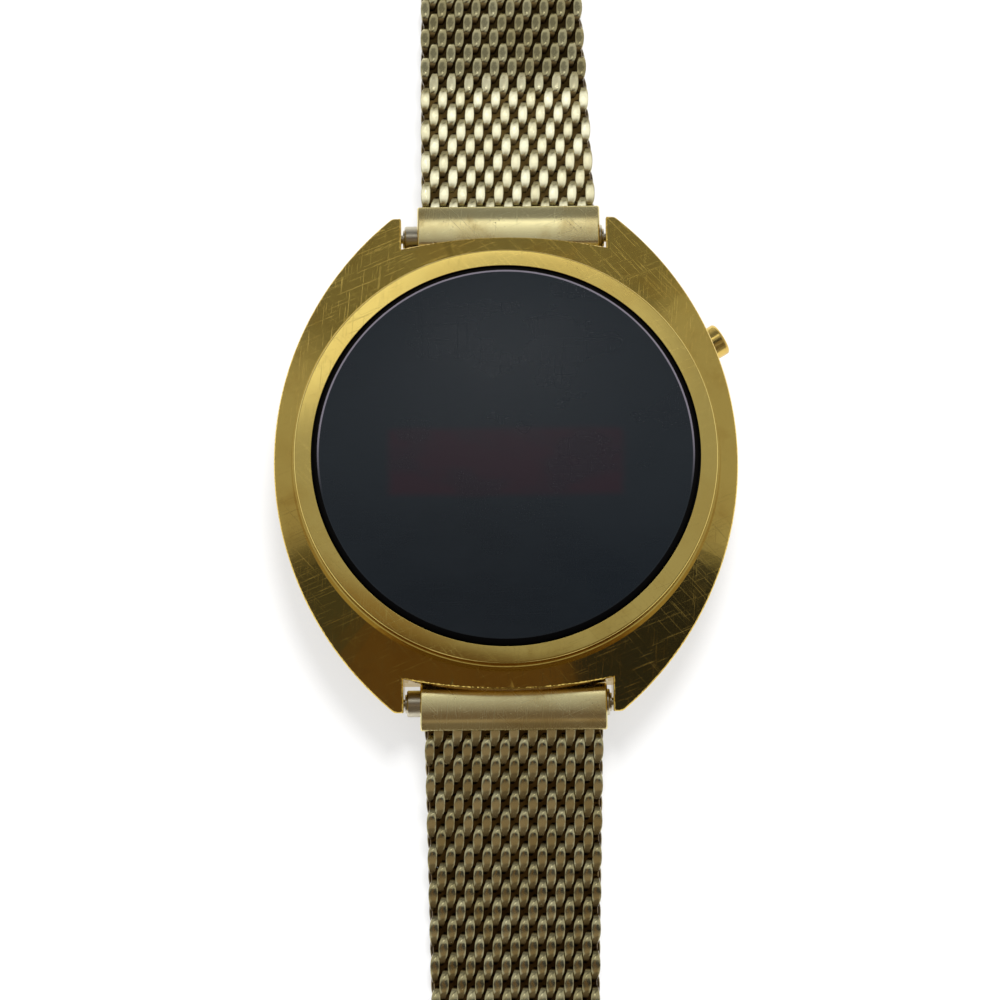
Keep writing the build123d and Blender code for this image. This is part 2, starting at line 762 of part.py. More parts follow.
# Spring bars: a tube between the lugs, two sprung tips, and the spring that parts them
for name, side in (("top", 1), ("bottom", -1)):
    bar_end = bar_length / 2
    with BuildPart() as bar_tube:
        with BuildSketch(Plane.YZ.offset(-bar_end)):
            with Locations((side * bar_reach, bar_height)):
                Circle(bar_radius)
        extrude(amount=bar_length)
        fillet(bar_tube.edges().filter_by(GeomType.CIRCLE), bar_edge_round)
        with BuildSketch(Plane.YZ.offset(-bar_end)):
            with Locations((side * bar_reach, bar_height)):
                Circle(bar_bore_radius)
        extrude(amount=bar_length, mode=Mode.SUBTRACT)
    bar_tube.part.label = f"spring_bar_{name}"
    export_step(bar_tube.part, f"parts/spring_bar_{name}.step")

    shoulder_start = bar_end + tip_shoulder_stand - tip_shoulder_length
    for hand, way in (("left", -1), ("right", 1)):
        with BuildPart() as bar_tip:
            with BuildSketch(Plane.YZ.offset(way * shoulder_start)):
                with Locations((side * bar_reach, bar_height)):
                    Circle(tip_shoulder_radius)
            extrude(amount=way * tip_shoulder_length)
            with BuildSketch(Plane.YZ.offset(way * (shoulder_start + tip_shoulder_length))):
                with Locations((side * bar_reach, bar_height)):
                    Circle(tip_pin_radius)
            extrude(amount=way * tip_pin_length)
            ends = bar_tip.edges().filter_by(GeomType.CIRCLE).sort_by(Axis.X)
            fillet(ends[-1 if way > 0 else 0], tip_edge_round)
        bar_tip.part.label = f"bar_tip_{name}_{hand}"
        export_step(bar_tip.part, f"parts/bar_tip_{name}_{hand}.step")

    with BuildPart() as bar_spring:
        coil_reach = shoulder_start - bar_spring_wire_radius
        with BuildLine() as bar_coil:
            Helix(
                pitch=bar_spring_pitch,
                height=2 * coil_reach,
                radius=bar_spring_radius,
                center=(-coil_reach, side * bar_reach, bar_height),
                direction=(1, 0, 0),
            )
        with BuildSketch(Plane(origin=bar_coil.line @ 0, z_dir=bar_coil.line % 0)):
            Circle(bar_spring_wire_radius)
        sweep(path=bar_coil.line, is_frenet=True)
    bar_spring.part.label = f"bar_spring_{name}"
    export_step(bar_spring.part, f"parts/bar_spring_{name}.step")


def along_band(side, slope):
    """Direction out along one half of the band at a slope."""
    return Vector(0, side * cos(radians(slope)), sin(radians(slope)))


def face_plane(side, point, slope):
    """Plane in the band: X across it, Y out along it, Z out of its outer face."""
    across = Vector(side, 0, 0)
    return Plane(origin=point, x_dir=across, z_dir=across.cross(along_band(side, slope)))


def section_plane(side, point, slope):
    """Plane across the band's width: X out along it, Y out of its outer face."""
    return Plane(origin=point, x_dir=along_band(side, slope), z_dir=Vector(side, 0, 0))


def landing_slope(start_height, end_height):
    """Slope at which one link gets from one height to another."""
    return degrees(asin((end_height - start_height) / link_length))


def band_route(side, end_slope, slopes, last_height):
    """Hinge points and slopes of one half's links, from the end piece outwards.

    After the given slopes the next link comes down to the table, and the last one
    ends at the height of what is fixed to it.
    """
    bar = Vector(band_shift, side * bar_reach, bar_height)
    points = [bar + along_band(side, end_slope) * first_hinge_reach]
    count = top_links if side > 0 else bottom_links
    laid = []
    for link in range(count):
        height = points[-1].Z
        if link < len(slopes):
            slope = slopes[link]
        elif link == count - 1:
            slope = landing_slope(height, last_height)
        else:
            slope = landing_slope(height, flat_mesh_height)
        laid.append(slope)
        points.append(points[-1] + along_band(side, slope) * link_length)
    return points, laid


def mesh_width(distance):
    """The band tapers from the end piece to the length of the short half."""
    share = min(distance / (top_links * link_length), 1)
    return mesh_start_width + (mesh_end_width - mesh_start_width) * share


routes = {
    "top": band_route(1, top_end_slope, [top_first_slope], ferrule_height),
    "bottom": band_route(-1, bottom_end_slope, [bottom_first_slope], tail_height),
}

# End pieces: a barrel round the spring bar, and a block that takes the mesh's first coils
for name, side, slope in (("top", 1, top_end_slope), ("bottom", -1, bottom_end_slope)):
    bar_point = (band_shift, side * bar_reach, bar_height)
    section = section_plane(side, bar_point, slope)
    first_hinge = section_plane(side, routes[name][0][0], slope)
    with BuildPart() as end_piece:
        with BuildSketch(section) as end_profile:
            Circle(end_barrel_radius)
            with Locations((end_piece_reach / 2, 0)):
                Rectangle(end_piece_reach, 2 * end_barrel_radius)
            outer_corners = end_profile.vertices().group_by(Axis.X)[-1]
            fillet(outer_corners, end_outer_round)
        extrude(amount=end_piece_width / 2, both=True)
        side_faces = end_piece.faces().filter_by(Axis.X)
        fillet(side_faces.edges(), end_side_round)
        with BuildSketch(section):
            Circle(bar_radius + running_gap)
        extrude(amount=end_piece_width, both=True, mode=Mode.SUBTRACT)
        with BuildSketch(first_hinge):
            Circle(mesh_half + link_gap)
        extrude(amount=end_piece_width, both=True, mode=Mode.SUBTRACT)
    end_piece.part.label = f"end_piece_{name}"
    export_step(end_piece.part, f"parts/end_piece_{name}.step")


def wire_rows(side, point, slope, near_half, far_half, first_coil, coils, parity):
    """The wires of every second column: each coil arches over or under the middle."""
    length = coils * coil_pitch
    near_column = 2 * near_half / mesh_columns
    far_column = 2 * far_half / mesh_columns
    with BuildPart() as rows:
        with BuildSketch(section_plane(side, point, slope)):
            for coil in range(coils):
                middle = coil * coil_pitch + coil_pitch / 2
                rise = mesh_half if (first_coil + coil + parity) % 2 == 0 else -mesh_half
                with BuildLine():
                    arch = ThreePointArc(
                        (middle - crown_reach, 0), (middle, rise), (middle + crown_reach, 0)
                    )
                    Line(arch @ 1, arch @ 0)
                make_face()
        extrude(amount=near_half + overrun, both=True)
        with BuildSketch(face_plane(side, point, slope)):
            for column in range(parity, mesh_columns, 2):
                left = column - mesh_columns / 2 + (1 - wire_share) / 2
                right = left + wire_share
                with BuildLine():
                    Polyline(
                        (left * near_column, -mesh_half),
                        (right * near_column, -mesh_half),
                        (right * near_column, 0),
                        (right * far_column, length),
                        (left * far_column, length),
                        (left * near_column, 0),
                        close=True,
                    )
                make_face()
        extrude(amount=mesh_half, both=True, mode=Mode.INTERSECT)
    return rows.part


def woven_mesh(side, point, slope, near_half, far_half, first_coil, coils):
    """One stretch of mesh: a round end to roll on, a thin middle, and the wires' arches."""
    length = coils * coil_pitch
    stretch = (side, point, slope, near_half, far_half, first_coil, coils)
    rows = [wire_rows(*stretch, parity) for parity in (0, 1)]
    with BuildPart() as mesh:
        with BuildSketch(section_plane(side, point, slope)):
            Circle(mesh_half)
            with Locations((length / 2, 0)):
                Rectangle(length, mesh_core)
        extrude(amount=near_half + overrun, both=True)
        with BuildSketch(face_plane(side, point, slope)):
            with BuildLine():
                Polyline(
                    (-near_half, -mesh_half),
                    (near_half, -mesh_half),
                    (near_half, 0),
                    (far_half, length),
                    (-far_half, length),
                    (-near_half, 0),
                    close=True,
                )
            make_face()
        extrude(amount=mesh_half, both=True, mode=Mode.INTERSECT)
        add(rows)
    return mesh.part


# Mesh links: each a few woven coils that move as one, rolling in the end of the last
for name, side in (("top", 1), ("bottom", -1)):
    points, slopes = routes[name]
    for link, (point, slope) in enumerate(zip(points, slopes)):
        near_half = mesh_width(link * link_length) / 2
        far_half = mesh_width((link + 1) * link_length) / 2
        with BuildPart() as mesh_link:
            first_coil = link * coils_per_link
            add(woven_mesh(side, point, slope, near_half, far_half, first_coil, coils_per_link))
            # The last link of the short half ends square, against the ferrule
            if (name, link + 1) != ("top", top_links):
                with BuildSketch(section_plane(side, points[link + 1], slope)):
                    Circle(mesh_half + link_gap)
                extrude(amount=near_half + overrun, both=True, mode=Mode.SUBTRACT)
        mesh_link.part.label = f"mesh_{name}_{link + 1}"
        export_step(mesh_link.part, f"parts/mesh_{name}_{link + 1}.step")

# Ferrule: clamps the short half's last coils and carries the hook bar on two arms
ferrule_start = routes["top"][0][-1]
ferrule_slope = routes["top"][1][-1]
ferrule_face = face_plane(1, ferrule_start, ferrule_slope)
ferrule_section = section_plane(1, ferrule_start, ferrule_slope)
arm_end = ferrule_length + arm_length
bar_place = arm_end - 2 * hook_bar_radius
with BuildPart() as ferrule:
    with BuildSketch(ferrule_section):
        with Locations((ferrule_length / 2, 0)):
            RectangleRounded(ferrule_length, ferrule_thickness, ferrule_round)
    extrude(amount=ferrule_width / 2, both=True)
    with BuildSketch(ferrule_face):
        with Locations((0, arm_end - arm_length)):
            with GridLocations(ferrule_width - arm_width, 0, 2, 1):
                Rectangle(arm_width, 2 * arm_length)
    extrude(amount=ferrule_thickness / 2 - ferrule_round, both=True)
    with BuildSketch(ferrule_section):
        with Locations((bar_place, 0)):
            Circle(hook_bar_radius + press_gap)
    extrude(amount=ferrule_width, both=True, mode=Mode.SUBTRACT)
ferrule.part.label = "ferrule"
export_step(ferrule.part, "parts/ferrule.step")

# Hook bar: the cross pin that the clasp hooks on to
with BuildPart() as hook_bar:
    with BuildSketch(ferrule_section):
        with Locations((bar_place, 0)):
            Circle(hook_bar_radius)
    extrude(amount=ferrule_width / 2, both=True)
hook_bar.part.label = "hook_bar"
export_step(hook_bar.part, "parts/hook_bar.step")

# Mesh tail: the straight end of the long half that runs through the clasp
tail_hinge = routes["bottom"][0][-1]
tail_face = face_plane(-1, tail_hinge, 0)
tail_section = section_plane(-1, tail_hinge, 0)
tail_half = mesh_end_width / 2
first_tail_coil = bottom_links * coils_per_link
mesh_tail = woven_mesh(-1, tail_hinge, 0, tail_half, tail_half, first_tail_coil, tail_coils)
mesh_tail.label = "mesh_tail"
export_step(mesh_tail, "parts/mesh_tail.step")

# Tail tip: the metal strip that closes the mesh's cut end
with BuildPart() as tail_tip:
    with BuildSketch(tail_section):
        with Locations((tail_length + tip_length / 2, 0)):
            RectangleRounded(tip_length, tip_thickness, tip_length / 3)
    extrude(amount=mesh_end_width / 2, both=True)
tail_tip.part.label = "tail_tip"
export_step(tail_tip.part, "parts/tail_tip.step")

# Clasp slider: a flat box round the mesh, with ears for the lever's pin and the hook's pin
inner_half_width = mesh_end_width / 2 + side_gap
outer_half_width = inner_half_width + slider_wall
inner_half_height = mesh_half + slider_gap
roof_top = inner_half_height + slider_roof
floor_depth = inner_half_height + slider_floor
slider_end = slider_start + slider_length
lever_pin_place = slider_start + lever_pin_inset
lever_pin_height = roof_top + lever_pin_rise
hook_pin_place = slider_end + hook_ear_length - hook_pin_inset
hook_pin_height = roof_top + hook_pin_rise
hook_ear_top = hook_pin_height + hook_barrel_radius
ear_middle = outer_half_width - slider_wall / 2
with BuildPart() as clasp_slider:
    with BuildSketch(tail_section):
        with Locations((slider_start + slider_length / 2, (roof_top - floor_depth) / 2)):
            Rectangle(slider_length, roof_top + floor_depth)
    extrude(amount=outer_half_width, both=True)
    fillet(clasp_slider.edges().filter_by(Axis.Y), slider_round)
    with BuildSketch(tail_section):
        with Locations((slider_start + slider_length / 2, 0)):
            Rectangle(slider_length, 2 * inner_half_height)
    extrude(amount=inner_half_width, both=True, mode=Mode.SUBTRACT)
    # The ears, made at both sides from one side view
    for way in (-1, 1):
        with BuildSketch(tail_section.offset(way * ear_middle)):
            with Locations((lever_pin_place, (roof_top + ear_rise) / 2)):
                Rectangle(ear_length, roof_top + ear_rise)
            with Locations((slider_end + hook_ear_length / 2 - slider_wall, hook_ear_top / 2)):
                Rectangle(hook_ear_length + 2 * slider_wall, hook_ear_top)
        extrude(amount=slider_wall / 2, both=True)
    with BuildSketch(tail_section):
        with Locations((lever_pin_place, lever_pin_height)):
            Circle(lever_pin_radius + press_gap)
        with Locations((hook_pin_place, hook_pin_height)):
            Circle(lever_pin_radius + press_gap)
    extrude(amount=outer_half_width + overrun, both=True, mode=Mode.SUBTRACT)
    with BuildSketch(tail_face.offset(roof_top)):
        with Locations((0, lever_pin_place)):
            Rectangle(2 * inner_half_width - 2 * slider_wall, cam_window_length)
    extrude(amount=-slider_roof, mode=Mode.SUBTRACT)
clasp_slider.part.label = "clasp_slider"
export_step(clasp_slider.part, "parts/clasp_slider.step")

# Pins through the slider's ears
for name, place, height in (
    ("lever_pin", lever_pin_place, lever_pin_height),
    ("hook_pin", hook_pin_place, hook_pin_height),
):
    with BuildPart() as clasp_pin:
        with BuildSketch(tail_section):
            with Locations((place, height)):
                Circle(lever_pin_radius)
        extrude(amount=outer_half_width, both=True)
    clasp_pin.part.label = name
    export_step(clasp_pin.part, f"parts/{name}.step")

# Lock lever: its barrel clamps the mesh through the window when the plate lies down
plate_half_width = inner_half_width - side_gap
with BuildPart() as lock_lever:
    plate_base = roof_top + lever_lift
    with BuildSketch(tail_section):
        with Locations((lever_pin_place, lever_pin_height)):
            Circle(lever_barrel_radius)
        with BuildLine():
            Polyline(
                (lever_pin_place, plate_base),
                (lever_pin_place + lever_length, plate_base),
                (lever_pin_place + lever_length, plate_base + lever_thickness - lever_nose),
                (lever_pin_place + lever_length - lever_nose, plate_base + lever_thickness),
                (lever_pin_place, plate_base + lever_thickness),
                close=True,
            )
        make_face()
    extrude(amount=plate_half_width - slider_wall - side_gap, both=True)
    with BuildSketch(tail_section):
        with Locations((lever_pin_place, lever_pin_height)):
            Circle(lever_pin_radius + running_gap)
    extrude(amount=plate_half_width, both=True, mode=Mode.SUBTRACT)
lock_lever.part.label = "lock_lever"
export_step(lock_lever.part, "parts/lock_lever.step")

# Hook plate: folds on its pin and catches the hook bar with its turned-in end
with BuildPart() as hook_plate:
    hook_end = hook_pin_place + hook_plate_length
    hook_top = hook_pin_height + hook_plate_thickness / 2
    with BuildSketch(tail_section):
        with Locations((hook_pin_place, hook_pin_height)):
            Circle(hook_barrel_radius)
        with BuildLine():
            Polyline(
                (hook_pin_place, hook_top),
                (hook_end, hook_top),
                (hook_end, hook_top - hook_depth),
                (hook_end - hook_lip - hook_wall, hook_top - hook_depth),
                (hook_end - hook_lip - hook_wall, hook_top - hook_depth + hook_wall),
                (hook_end - hook_wall, hook_top - hook_depth + hook_wall),
                (hook_end - hook_wall, hook_top - hook_plate_thickness),
                (hook_pin_place, hook_top - hook_plate_thickness),
                close=True,
            )
        make_face()
    extrude(amount=plate_half_width, both=True)
    with BuildSketch(tail_section):
        with Locations((hook_pin_place, hook_pin_height)):
            Circle(lever_pin_radius + running_gap)
    extrude(amount=outer_half_width, both=True, mode=Mode.SUBTRACT)
hook_plate.part.label = "hook_plate"
export_step(hook_plate.part, "parts/hook_plate.step")

# Joint places, in metres, for the record
for name in ("top", "bottom"):
    for link, point in enumerate(routes[name][0]):
        print(f"{name} hinge {link + 1}: {point.Y / 1000:.6f} {point.Z / 1000:.6f}")
for name, place, height in (
    ("lever", lever_pin_place, lever_pin_height),
    ("hook", hook_pin_place, hook_pin_height),
):
    pin = tail_hinge + Vector(0, -place, height)
    print(f"{name} pin: {pin.Y / 1000:.6f} {pin.Z / 1000:.6f}")
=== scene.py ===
import json
import random
from math import cos, pi, radians, sin, tan

import bmesh
import bpy
from mathutils import Matrix, Vector


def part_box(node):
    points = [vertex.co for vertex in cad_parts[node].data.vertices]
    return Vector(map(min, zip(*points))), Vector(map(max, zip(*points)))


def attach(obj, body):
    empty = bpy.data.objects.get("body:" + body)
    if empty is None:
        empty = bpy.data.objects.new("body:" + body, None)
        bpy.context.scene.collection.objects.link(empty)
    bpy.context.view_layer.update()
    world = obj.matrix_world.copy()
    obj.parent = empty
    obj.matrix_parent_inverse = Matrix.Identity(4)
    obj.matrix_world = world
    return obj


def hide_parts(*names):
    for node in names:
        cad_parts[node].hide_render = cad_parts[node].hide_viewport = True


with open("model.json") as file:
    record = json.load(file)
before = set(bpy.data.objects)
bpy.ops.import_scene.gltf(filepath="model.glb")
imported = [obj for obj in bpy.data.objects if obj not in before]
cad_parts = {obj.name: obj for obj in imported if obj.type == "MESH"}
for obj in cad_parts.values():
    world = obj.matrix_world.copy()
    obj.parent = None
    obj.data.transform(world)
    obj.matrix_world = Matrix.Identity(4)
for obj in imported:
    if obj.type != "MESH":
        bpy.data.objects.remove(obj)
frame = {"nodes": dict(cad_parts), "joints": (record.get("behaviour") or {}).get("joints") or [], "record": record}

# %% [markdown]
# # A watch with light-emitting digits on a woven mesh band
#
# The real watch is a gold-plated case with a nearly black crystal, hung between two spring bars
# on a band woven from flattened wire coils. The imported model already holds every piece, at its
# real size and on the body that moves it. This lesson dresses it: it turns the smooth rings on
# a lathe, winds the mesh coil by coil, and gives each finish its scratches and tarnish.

scene = bpy.context.scene
MM = 0.001
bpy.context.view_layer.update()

# %% [markdown]
# ## The camera
#
# The photograph looks down on the dial from the six o'clock side, about 12 degrees off
# straight down. A lens of any length can be framed on the same 87 mm of table. How fast the
# mesh narrows towards the top of the picture tells how far off the camera stood, so the
# distance is settled first and the lens follows from it.

# %% Camera
VIEW_TILT = radians(12.0)  # away from straight down, towards six o'clock
VIEW_DISTANCE = 330 * MM
VIEW_ROLL = radians(-0.6)  # the watch lies turned a little anticlockwise in the picture
VIEW_TARGET = Vector((-0.55, -2.9, 5.0)) * MM
VIEW_WIDTH = 87.3 * MM  # the width of table that fills the picture
SENSOR = 36.0

camera_data = bpy.data.cameras.new("view")
camera_data.sensor_width = SENSOR
camera_data.lens = SENSOR * VIEW_DISTANCE / VIEW_WIDTH
camera_data.clip_start = 0.01
camera = bpy.data.objects.new("view", camera_data)
scene.collection.objects.link(camera)
camera.location = VIEW_TARGET + VIEW_DISTANCE * Vector((0, -sin(VIEW_TILT), cos(VIEW_TILT)))
tilted = Matrix.Rotation(VIEW_TILT, 3, "X") @ Matrix.Rotation(VIEW_ROLL, 3, "Z")
camera.rotation_euler = tilted.to_euler()
scene.camera = camera
scene.view_settings.view_transform = "Standard"
print("lens", round(camera_data.lens, 1), "mm")

# %% [markdown]
# ## A short way to write shader maths
#
# A material is a tree of nodes, and drawing it with a mouse hides the sums in it. The small
# class below wraps one socket. Python's own operators on it add Math nodes, and one method
# adds any other node, so a finish reads like a formula.

# %% The socket wrapper
class Flow:
    """One socket of a node tree. Arithmetic on it adds Math nodes to the tree."""

    def __init__(self, tree, socket=None):
        self.tree, self.socket = tree, socket

    def node(self, kind, settings=None, sockets=None, output=0):
        """Adds a node: its settings first, then values or links for its input sockets."""
        made = self.tree.nodes.new("ShaderNode" + kind)
        for name, value in (settings or {}).items():
            setattr(made, name, value)
        for name, value in (sockets or {}).items():
            if isinstance(value, Flow):
                self.tree.links.new(value.socket, made.inputs[name])
            else:
                made.inputs[name].default_value = value
        return Flow(self.tree, made.outputs[output])

    def math(self, operation, *values):
        return self.node("Math", {"operation": operation}, dict(enumerate((self, *values))))

    def __add__(self, other):
        return self.math("ADD", other)

    __radd__ = __add__

    def __mul__(self, other):
        return self.math("MULTIPLY", other)

    __rmul__ = __mul__

    def __sub__(self, other):
        return self.math("SUBTRACT", other)

    def __rsub__(self, other):
        return self.node("Math", {"operation": "SUBTRACT"}, {0: other, 1: self})

    def clamp(self):
        return self.node("Clamp", {}, {0: self})

    def step(self, low, high):
        """0 below low and 1 above high, with a smooth slope between."""
        return self.node(
            "MapRange", {"interpolation_type": "SMOOTHSTEP"}, {"Value": self, 1: low, 2: high}
        )

    def mix(self, dark, light):
        """The colour that lies this share of the way from dark to light."""
        return self.node(
            "Mix", {"data_type": "RGBA"}, {0: self, 6: dark, 7: light}, output=2
        )


def srgb(red, green, blue):
    """A colour as a picture editor shows it, turned into the shader's linear light."""
    return (*[((c / 255 + 0.055) / 1.055) ** 2.4 if c > 10 else c / 3295 for c in
              (red, green, blue)], 1.0)


print("socket wrapper ready")

# %% [markdown]
# ## Light and surroundings
#
# Polished gold has hardly any colour of its own in a picture: it shows what is round it. The
# case's top is a shallow cone, so each direction round the dial mirrors another piece of the
# room, and the borders between them run out from the dial like spokes. They tell where things
# stood: a soft lamp behind twelve o'clock, a dim wall above it, brighter walls left and right,
# and something dark and warm at six o'clock. One way would be to stand cards round the watch.
# The world shader draws the same shapes for reflections alone, while plain light of even
# strength falls on everything else. Each card below is a rectangle of the sky, and a later one
# covers those before it.

# %% Directions in the sky
world = bpy.data.worlds.new("studio")
scene.world = world
world.use_nodes = True
sky = Flow(world.node_tree)
sky_output = world.node_tree.nodes["World Output"]
world.node_tree.nodes.remove(world.node_tree.nodes["Background"])
towards = sky.node("TexCoord")  # in a world this is the direction looked in
lean_x = sky.node("SeparateXYZ", {}, {0: towards}, output="X").math("ARCSINE") * (180 / pi)
lean_y = sky.node("SeparateXYZ", {}, {0: towards}, output="Y").math("ARCSINE") * (180 / pi)
upward = sky.node("SeparateXYZ", {}, {0: towards}, output="Z").step(-0.02, 0.02)


def card(left, right, low, high, edge):
    """1 inside a rectangle of the sky and 0 outside it, in degrees from straight up."""
    across = lean_x.step(left - edge, left + edge) * (1 - lean_x.step(right - edge, right + edge))
    along = lean_y.step(low - edge, low + edge) * (1 - lean_y.step(high - edge, high + edge))
    return across * along * upward


def spot(middle_x, middle_y, inner, outer):
    """1 inside a round zone of the sky and 0 outside it, in degrees from straight up."""
    square = (lean_x - middle_x) * (lean_x - middle_x) + (lean_y - middle_y) * (lean_y - middle_y)
    return (1 - square.math("SQRT").step(inner, outer)) * upward


def grey(value):
    return (value, value, value, 1)


print("directions ready")

# %% What the metal mirrors
soft_lamp = lean_x.step(-5, 0.5).mix(grey(1.15), grey(0.66))
CARDS = (  # left, right, low, high and the width of the soft edge, then the colour
    (-17, 0, 21, 60, 2.5, grey(0.2)),  # dim wall past twelve o'clock, left half
    (-3, 12, 22.5, 60, 0.8, grey(0.2)),  # and its right half
    (-9.5, 5.5, 14.5, 22, 1.4, soft_lamp),
    (-6.5, 6.5, 20.5, 26.5, 0.8, grey(1.7)),  # the bright line on the upper end piece
    (-26, 26, -60, -10, 1.5, (0.25, 0.19, 0.13, 1)),  # warm dusk at six o'clock
    (-40, 40, -90, -27, 4, (0.13, 0.1, 0.07, 1)),
    (-9, -2, 5, 8.4, 0.7, (0.27, 0.2, 0.12, 1)),  # dims the bezel's lower left
    (-26, 0, -10, 6, 0.6, (0.06, 0.06, 0.06, 1)),
    (0, 26, -10, 5, 0.6, (0.022, 0.024, 0.034, 1)),
)
horizon = (lean_x * lean_x + lean_y * lean_y).math("SQRT").step(50, 85)
wall = horizon.mix(grey(0.42), grey(0.62))
for *zone, tone in CARDS:
    wall = card(*zone).mix(wall, tone)
wall = spot(-3, -2, 8, 8.6).mix(wall, (0.115, 0.068, 0.034, 1))  # amber below the dial
from_metal = sky.node("LightPath", {}, {}, output="Is Glossy Ray")
from_camera = sky.node("LightPath", {}, {}, output="Is Camera Ray")
PLAIN_LIGHT = 0.85
backdrop_colour = from_metal.mix(grey(PLAIN_LIGHT), wall)
backdrop_colour = from_camera.mix(backdrop_colour, grey(1.0))
backdrop = sky.node("Background", {}, {"Color": backdrop_colour, "Strength": 1.0})
world.node_tree.links.new(backdrop.socket, sky_output.inputs["Surface"])
print("world nodes", len(world.node_tree.nodes))

# %% [markdown]
# ## Key lamp
#
# The watch threw hardly any shadow, so one wide disc hangs high above twelve o'clock and adds
# little to the plain light. It is hidden from reflections, because the world has its own lamp
# for them.

# %% Key lamp
LAMP_SIZE = 160 * MM
LAMP_WATTS = 2.0
LAMP_PLACE = Vector((40, 190, 480)) * MM
lamp_data = bpy.data.lights.new("key_lamp", "AREA")
lamp_data.shape = "DISK"
lamp_data.size = LAMP_SIZE
lamp_data.energy = LAMP_WATTS
lamp = bpy.data.objects.new("key_lamp", lamp_data)
lamp.location = LAMP_PLACE
lamp.rotation_euler = (-LAMP_PLACE).to_track_quat("-Z", "Y").to_euler()
lamp.visible_glossy = False
scene.collection.objects.link(lamp)
print("lamp at", [round(c / MM) for c in LAMP_PLACE], "mm")

# %% [markdown]
# ## Floor
#
# The watch lies on a sheet so bright that it prints as white. A real sheet would need far more
# light than the watch gets, which would wash out the gold. Here the sheet glows by itself a
# little, more to the camera than in reflections, and still takes a faint shadow.

# %% Floor
def material_start(name):
    """A new material with an empty node tree, as a Flow, and its output node."""
    material = bpy.data.materials.new(name)
    material.use_nodes = True
    material.node_tree.nodes.remove(material.node_tree.nodes["Principled BSDF"])
    return material, Flow(material.node_tree), material.node_tree.nodes["Material Output"]


FLOOR_SIZE = 2.0
floor_shape = bmesh.new()
bmesh.ops.create_grid(floor_shape, x_segments=1, y_segments=1, size=FLOOR_SIZE)
floor_mesh = bpy.data.meshes.new("floor")
floor_shape.to_mesh(floor_mesh)
floor_shape.free()
floor = bpy.data.objects.new("floor", floor_mesh)
scene.collection.objects.link(floor)

floor_paper, paper, paper_output = material_start("floor_paper")
seen, mirrored, through = (
    paper.node("LightPath", {}, {}, output=f"Is {ray} Ray")
    for ray in ("Camera", "Glossy", "Transmission")
)
grain = paper.node("TexNoise", {}, {"Scale": 900.0, "Detail": 4.0, "Roughness": 0.6})
sheet = paper.node("BsdfDiffuse", {}, {"Color": grain.mix(grey(0.86), grey(0.9))})
glow = paper.node("Emission", {}, {"Color": grey(1), "Strength": 1.0})
share = (seen * 0.55 + mirrored * 0.35 + through * 0.4).clamp()
floor_look = paper.node("MixShader", {}, {0: share, 1: sheet, 2: glow})
paper.tree.links.new(floor_look.socket, paper_output.inputs["Surface"])
floor_mesh.materials.append(floor_paper)
print("floor", FLOOR_SIZE * 2, "m square")

# %% [markdown]
# ## Gold plate
#
# The case was polished and plated, then worn for decades. Up close that means three layers:
# cloudy tarnish a few millimetres across, fine scratches in every direction, and pits where
# the plate has gone through. Each is a noise of the right size in millimetres, because object
# coordinates are metres and a Mapping node turns them into millimetres.

# %% Shared patterns
def millimetres(start, stretch=(1, 1, 1), turn=(0, 0, 0)):
    """Object coordinates in millimetres, stretched and turned for a pattern."""
    place = start.node("TexCoord", {}, {}, output="Object")
    scale = [s / MM for s in stretch]
    return start.node(
        "Mapping", {}, {"Vector": place, "Scale": scale, "Rotation": turn}
    )


def cloud(start, size, detail=3.0, stretch=(1, 1, 1), seed=0.0):
    """Soft noise whose patches are about this many millimetres across."""
    place = millimetres(start, stretch)
    return start.node(
        "TexNoise",
        {"noise_dimensions": "4D"},
        {"Vector": place, "W": seed, "Scale": 1 / size, "Detail": detail, "Roughness": 0.55},
    )


def scratches(start, direction, spacing, length, seed):
    """Thin lines that run at an angle in the XY plane, in degrees from +X."""
    place = millimetres(start, (1, 1, 1), (0, 0, -radians(direction)))
    place = start.node(
        "VectorMath", {"operation": "MULTIPLY"}, {0: place, 1: (1 / length, 1 / spacing, 0.3)}
    )
    lines = start.node(
        "TexNoise",
        {"noise_dimensions": "4D"},
        {"Vector": place, "W": seed, "Scale": 1.0, "Detail": 2.0, "Roughness": 0.6},
    )
    return lines.step(0.62, 0.72)


print("clouds and scratches ready")


# %% Pits, and the shader that ends each finish
def pits(start, size, share, seed):
    """Small round spots. A share near 0 leaves few of them."""
    cells = start.node(
        "TexVoronoi",
        {"voronoi_dimensions": "4D"},
        {"Vector": millimetres(start), "W": seed, "Scale": 1 / size},
    )
    patch = cloud(start, size * 9, 2.0, seed=seed + 3)
    return (1 - cells.step(0.12, 0.3)) * patch.step(1 - share, 1 - share + 0.08)


def finish_with(start, output, colour, roughness, height=None, depth=0.02, **constants):
    """Ends a material in one Principled shader, with an optional height in millimetres."""
    sockets = {"Base Color": colour, "Roughness": roughness}
    if height is not None:
        sockets["Normal"] = start.node(
            "Bump", {}, {"Strength": 1.0, "Distance": depth * MM, "Height": height}
        )
    for name, value in constants.items():
        sockets[name.replace("_", " ")] = value
    shader = start.node("BsdfPrincipled", {}, sockets)
    start.tree.links.new(shader.socket, output.inputs["Surface"])


print("pits ready")


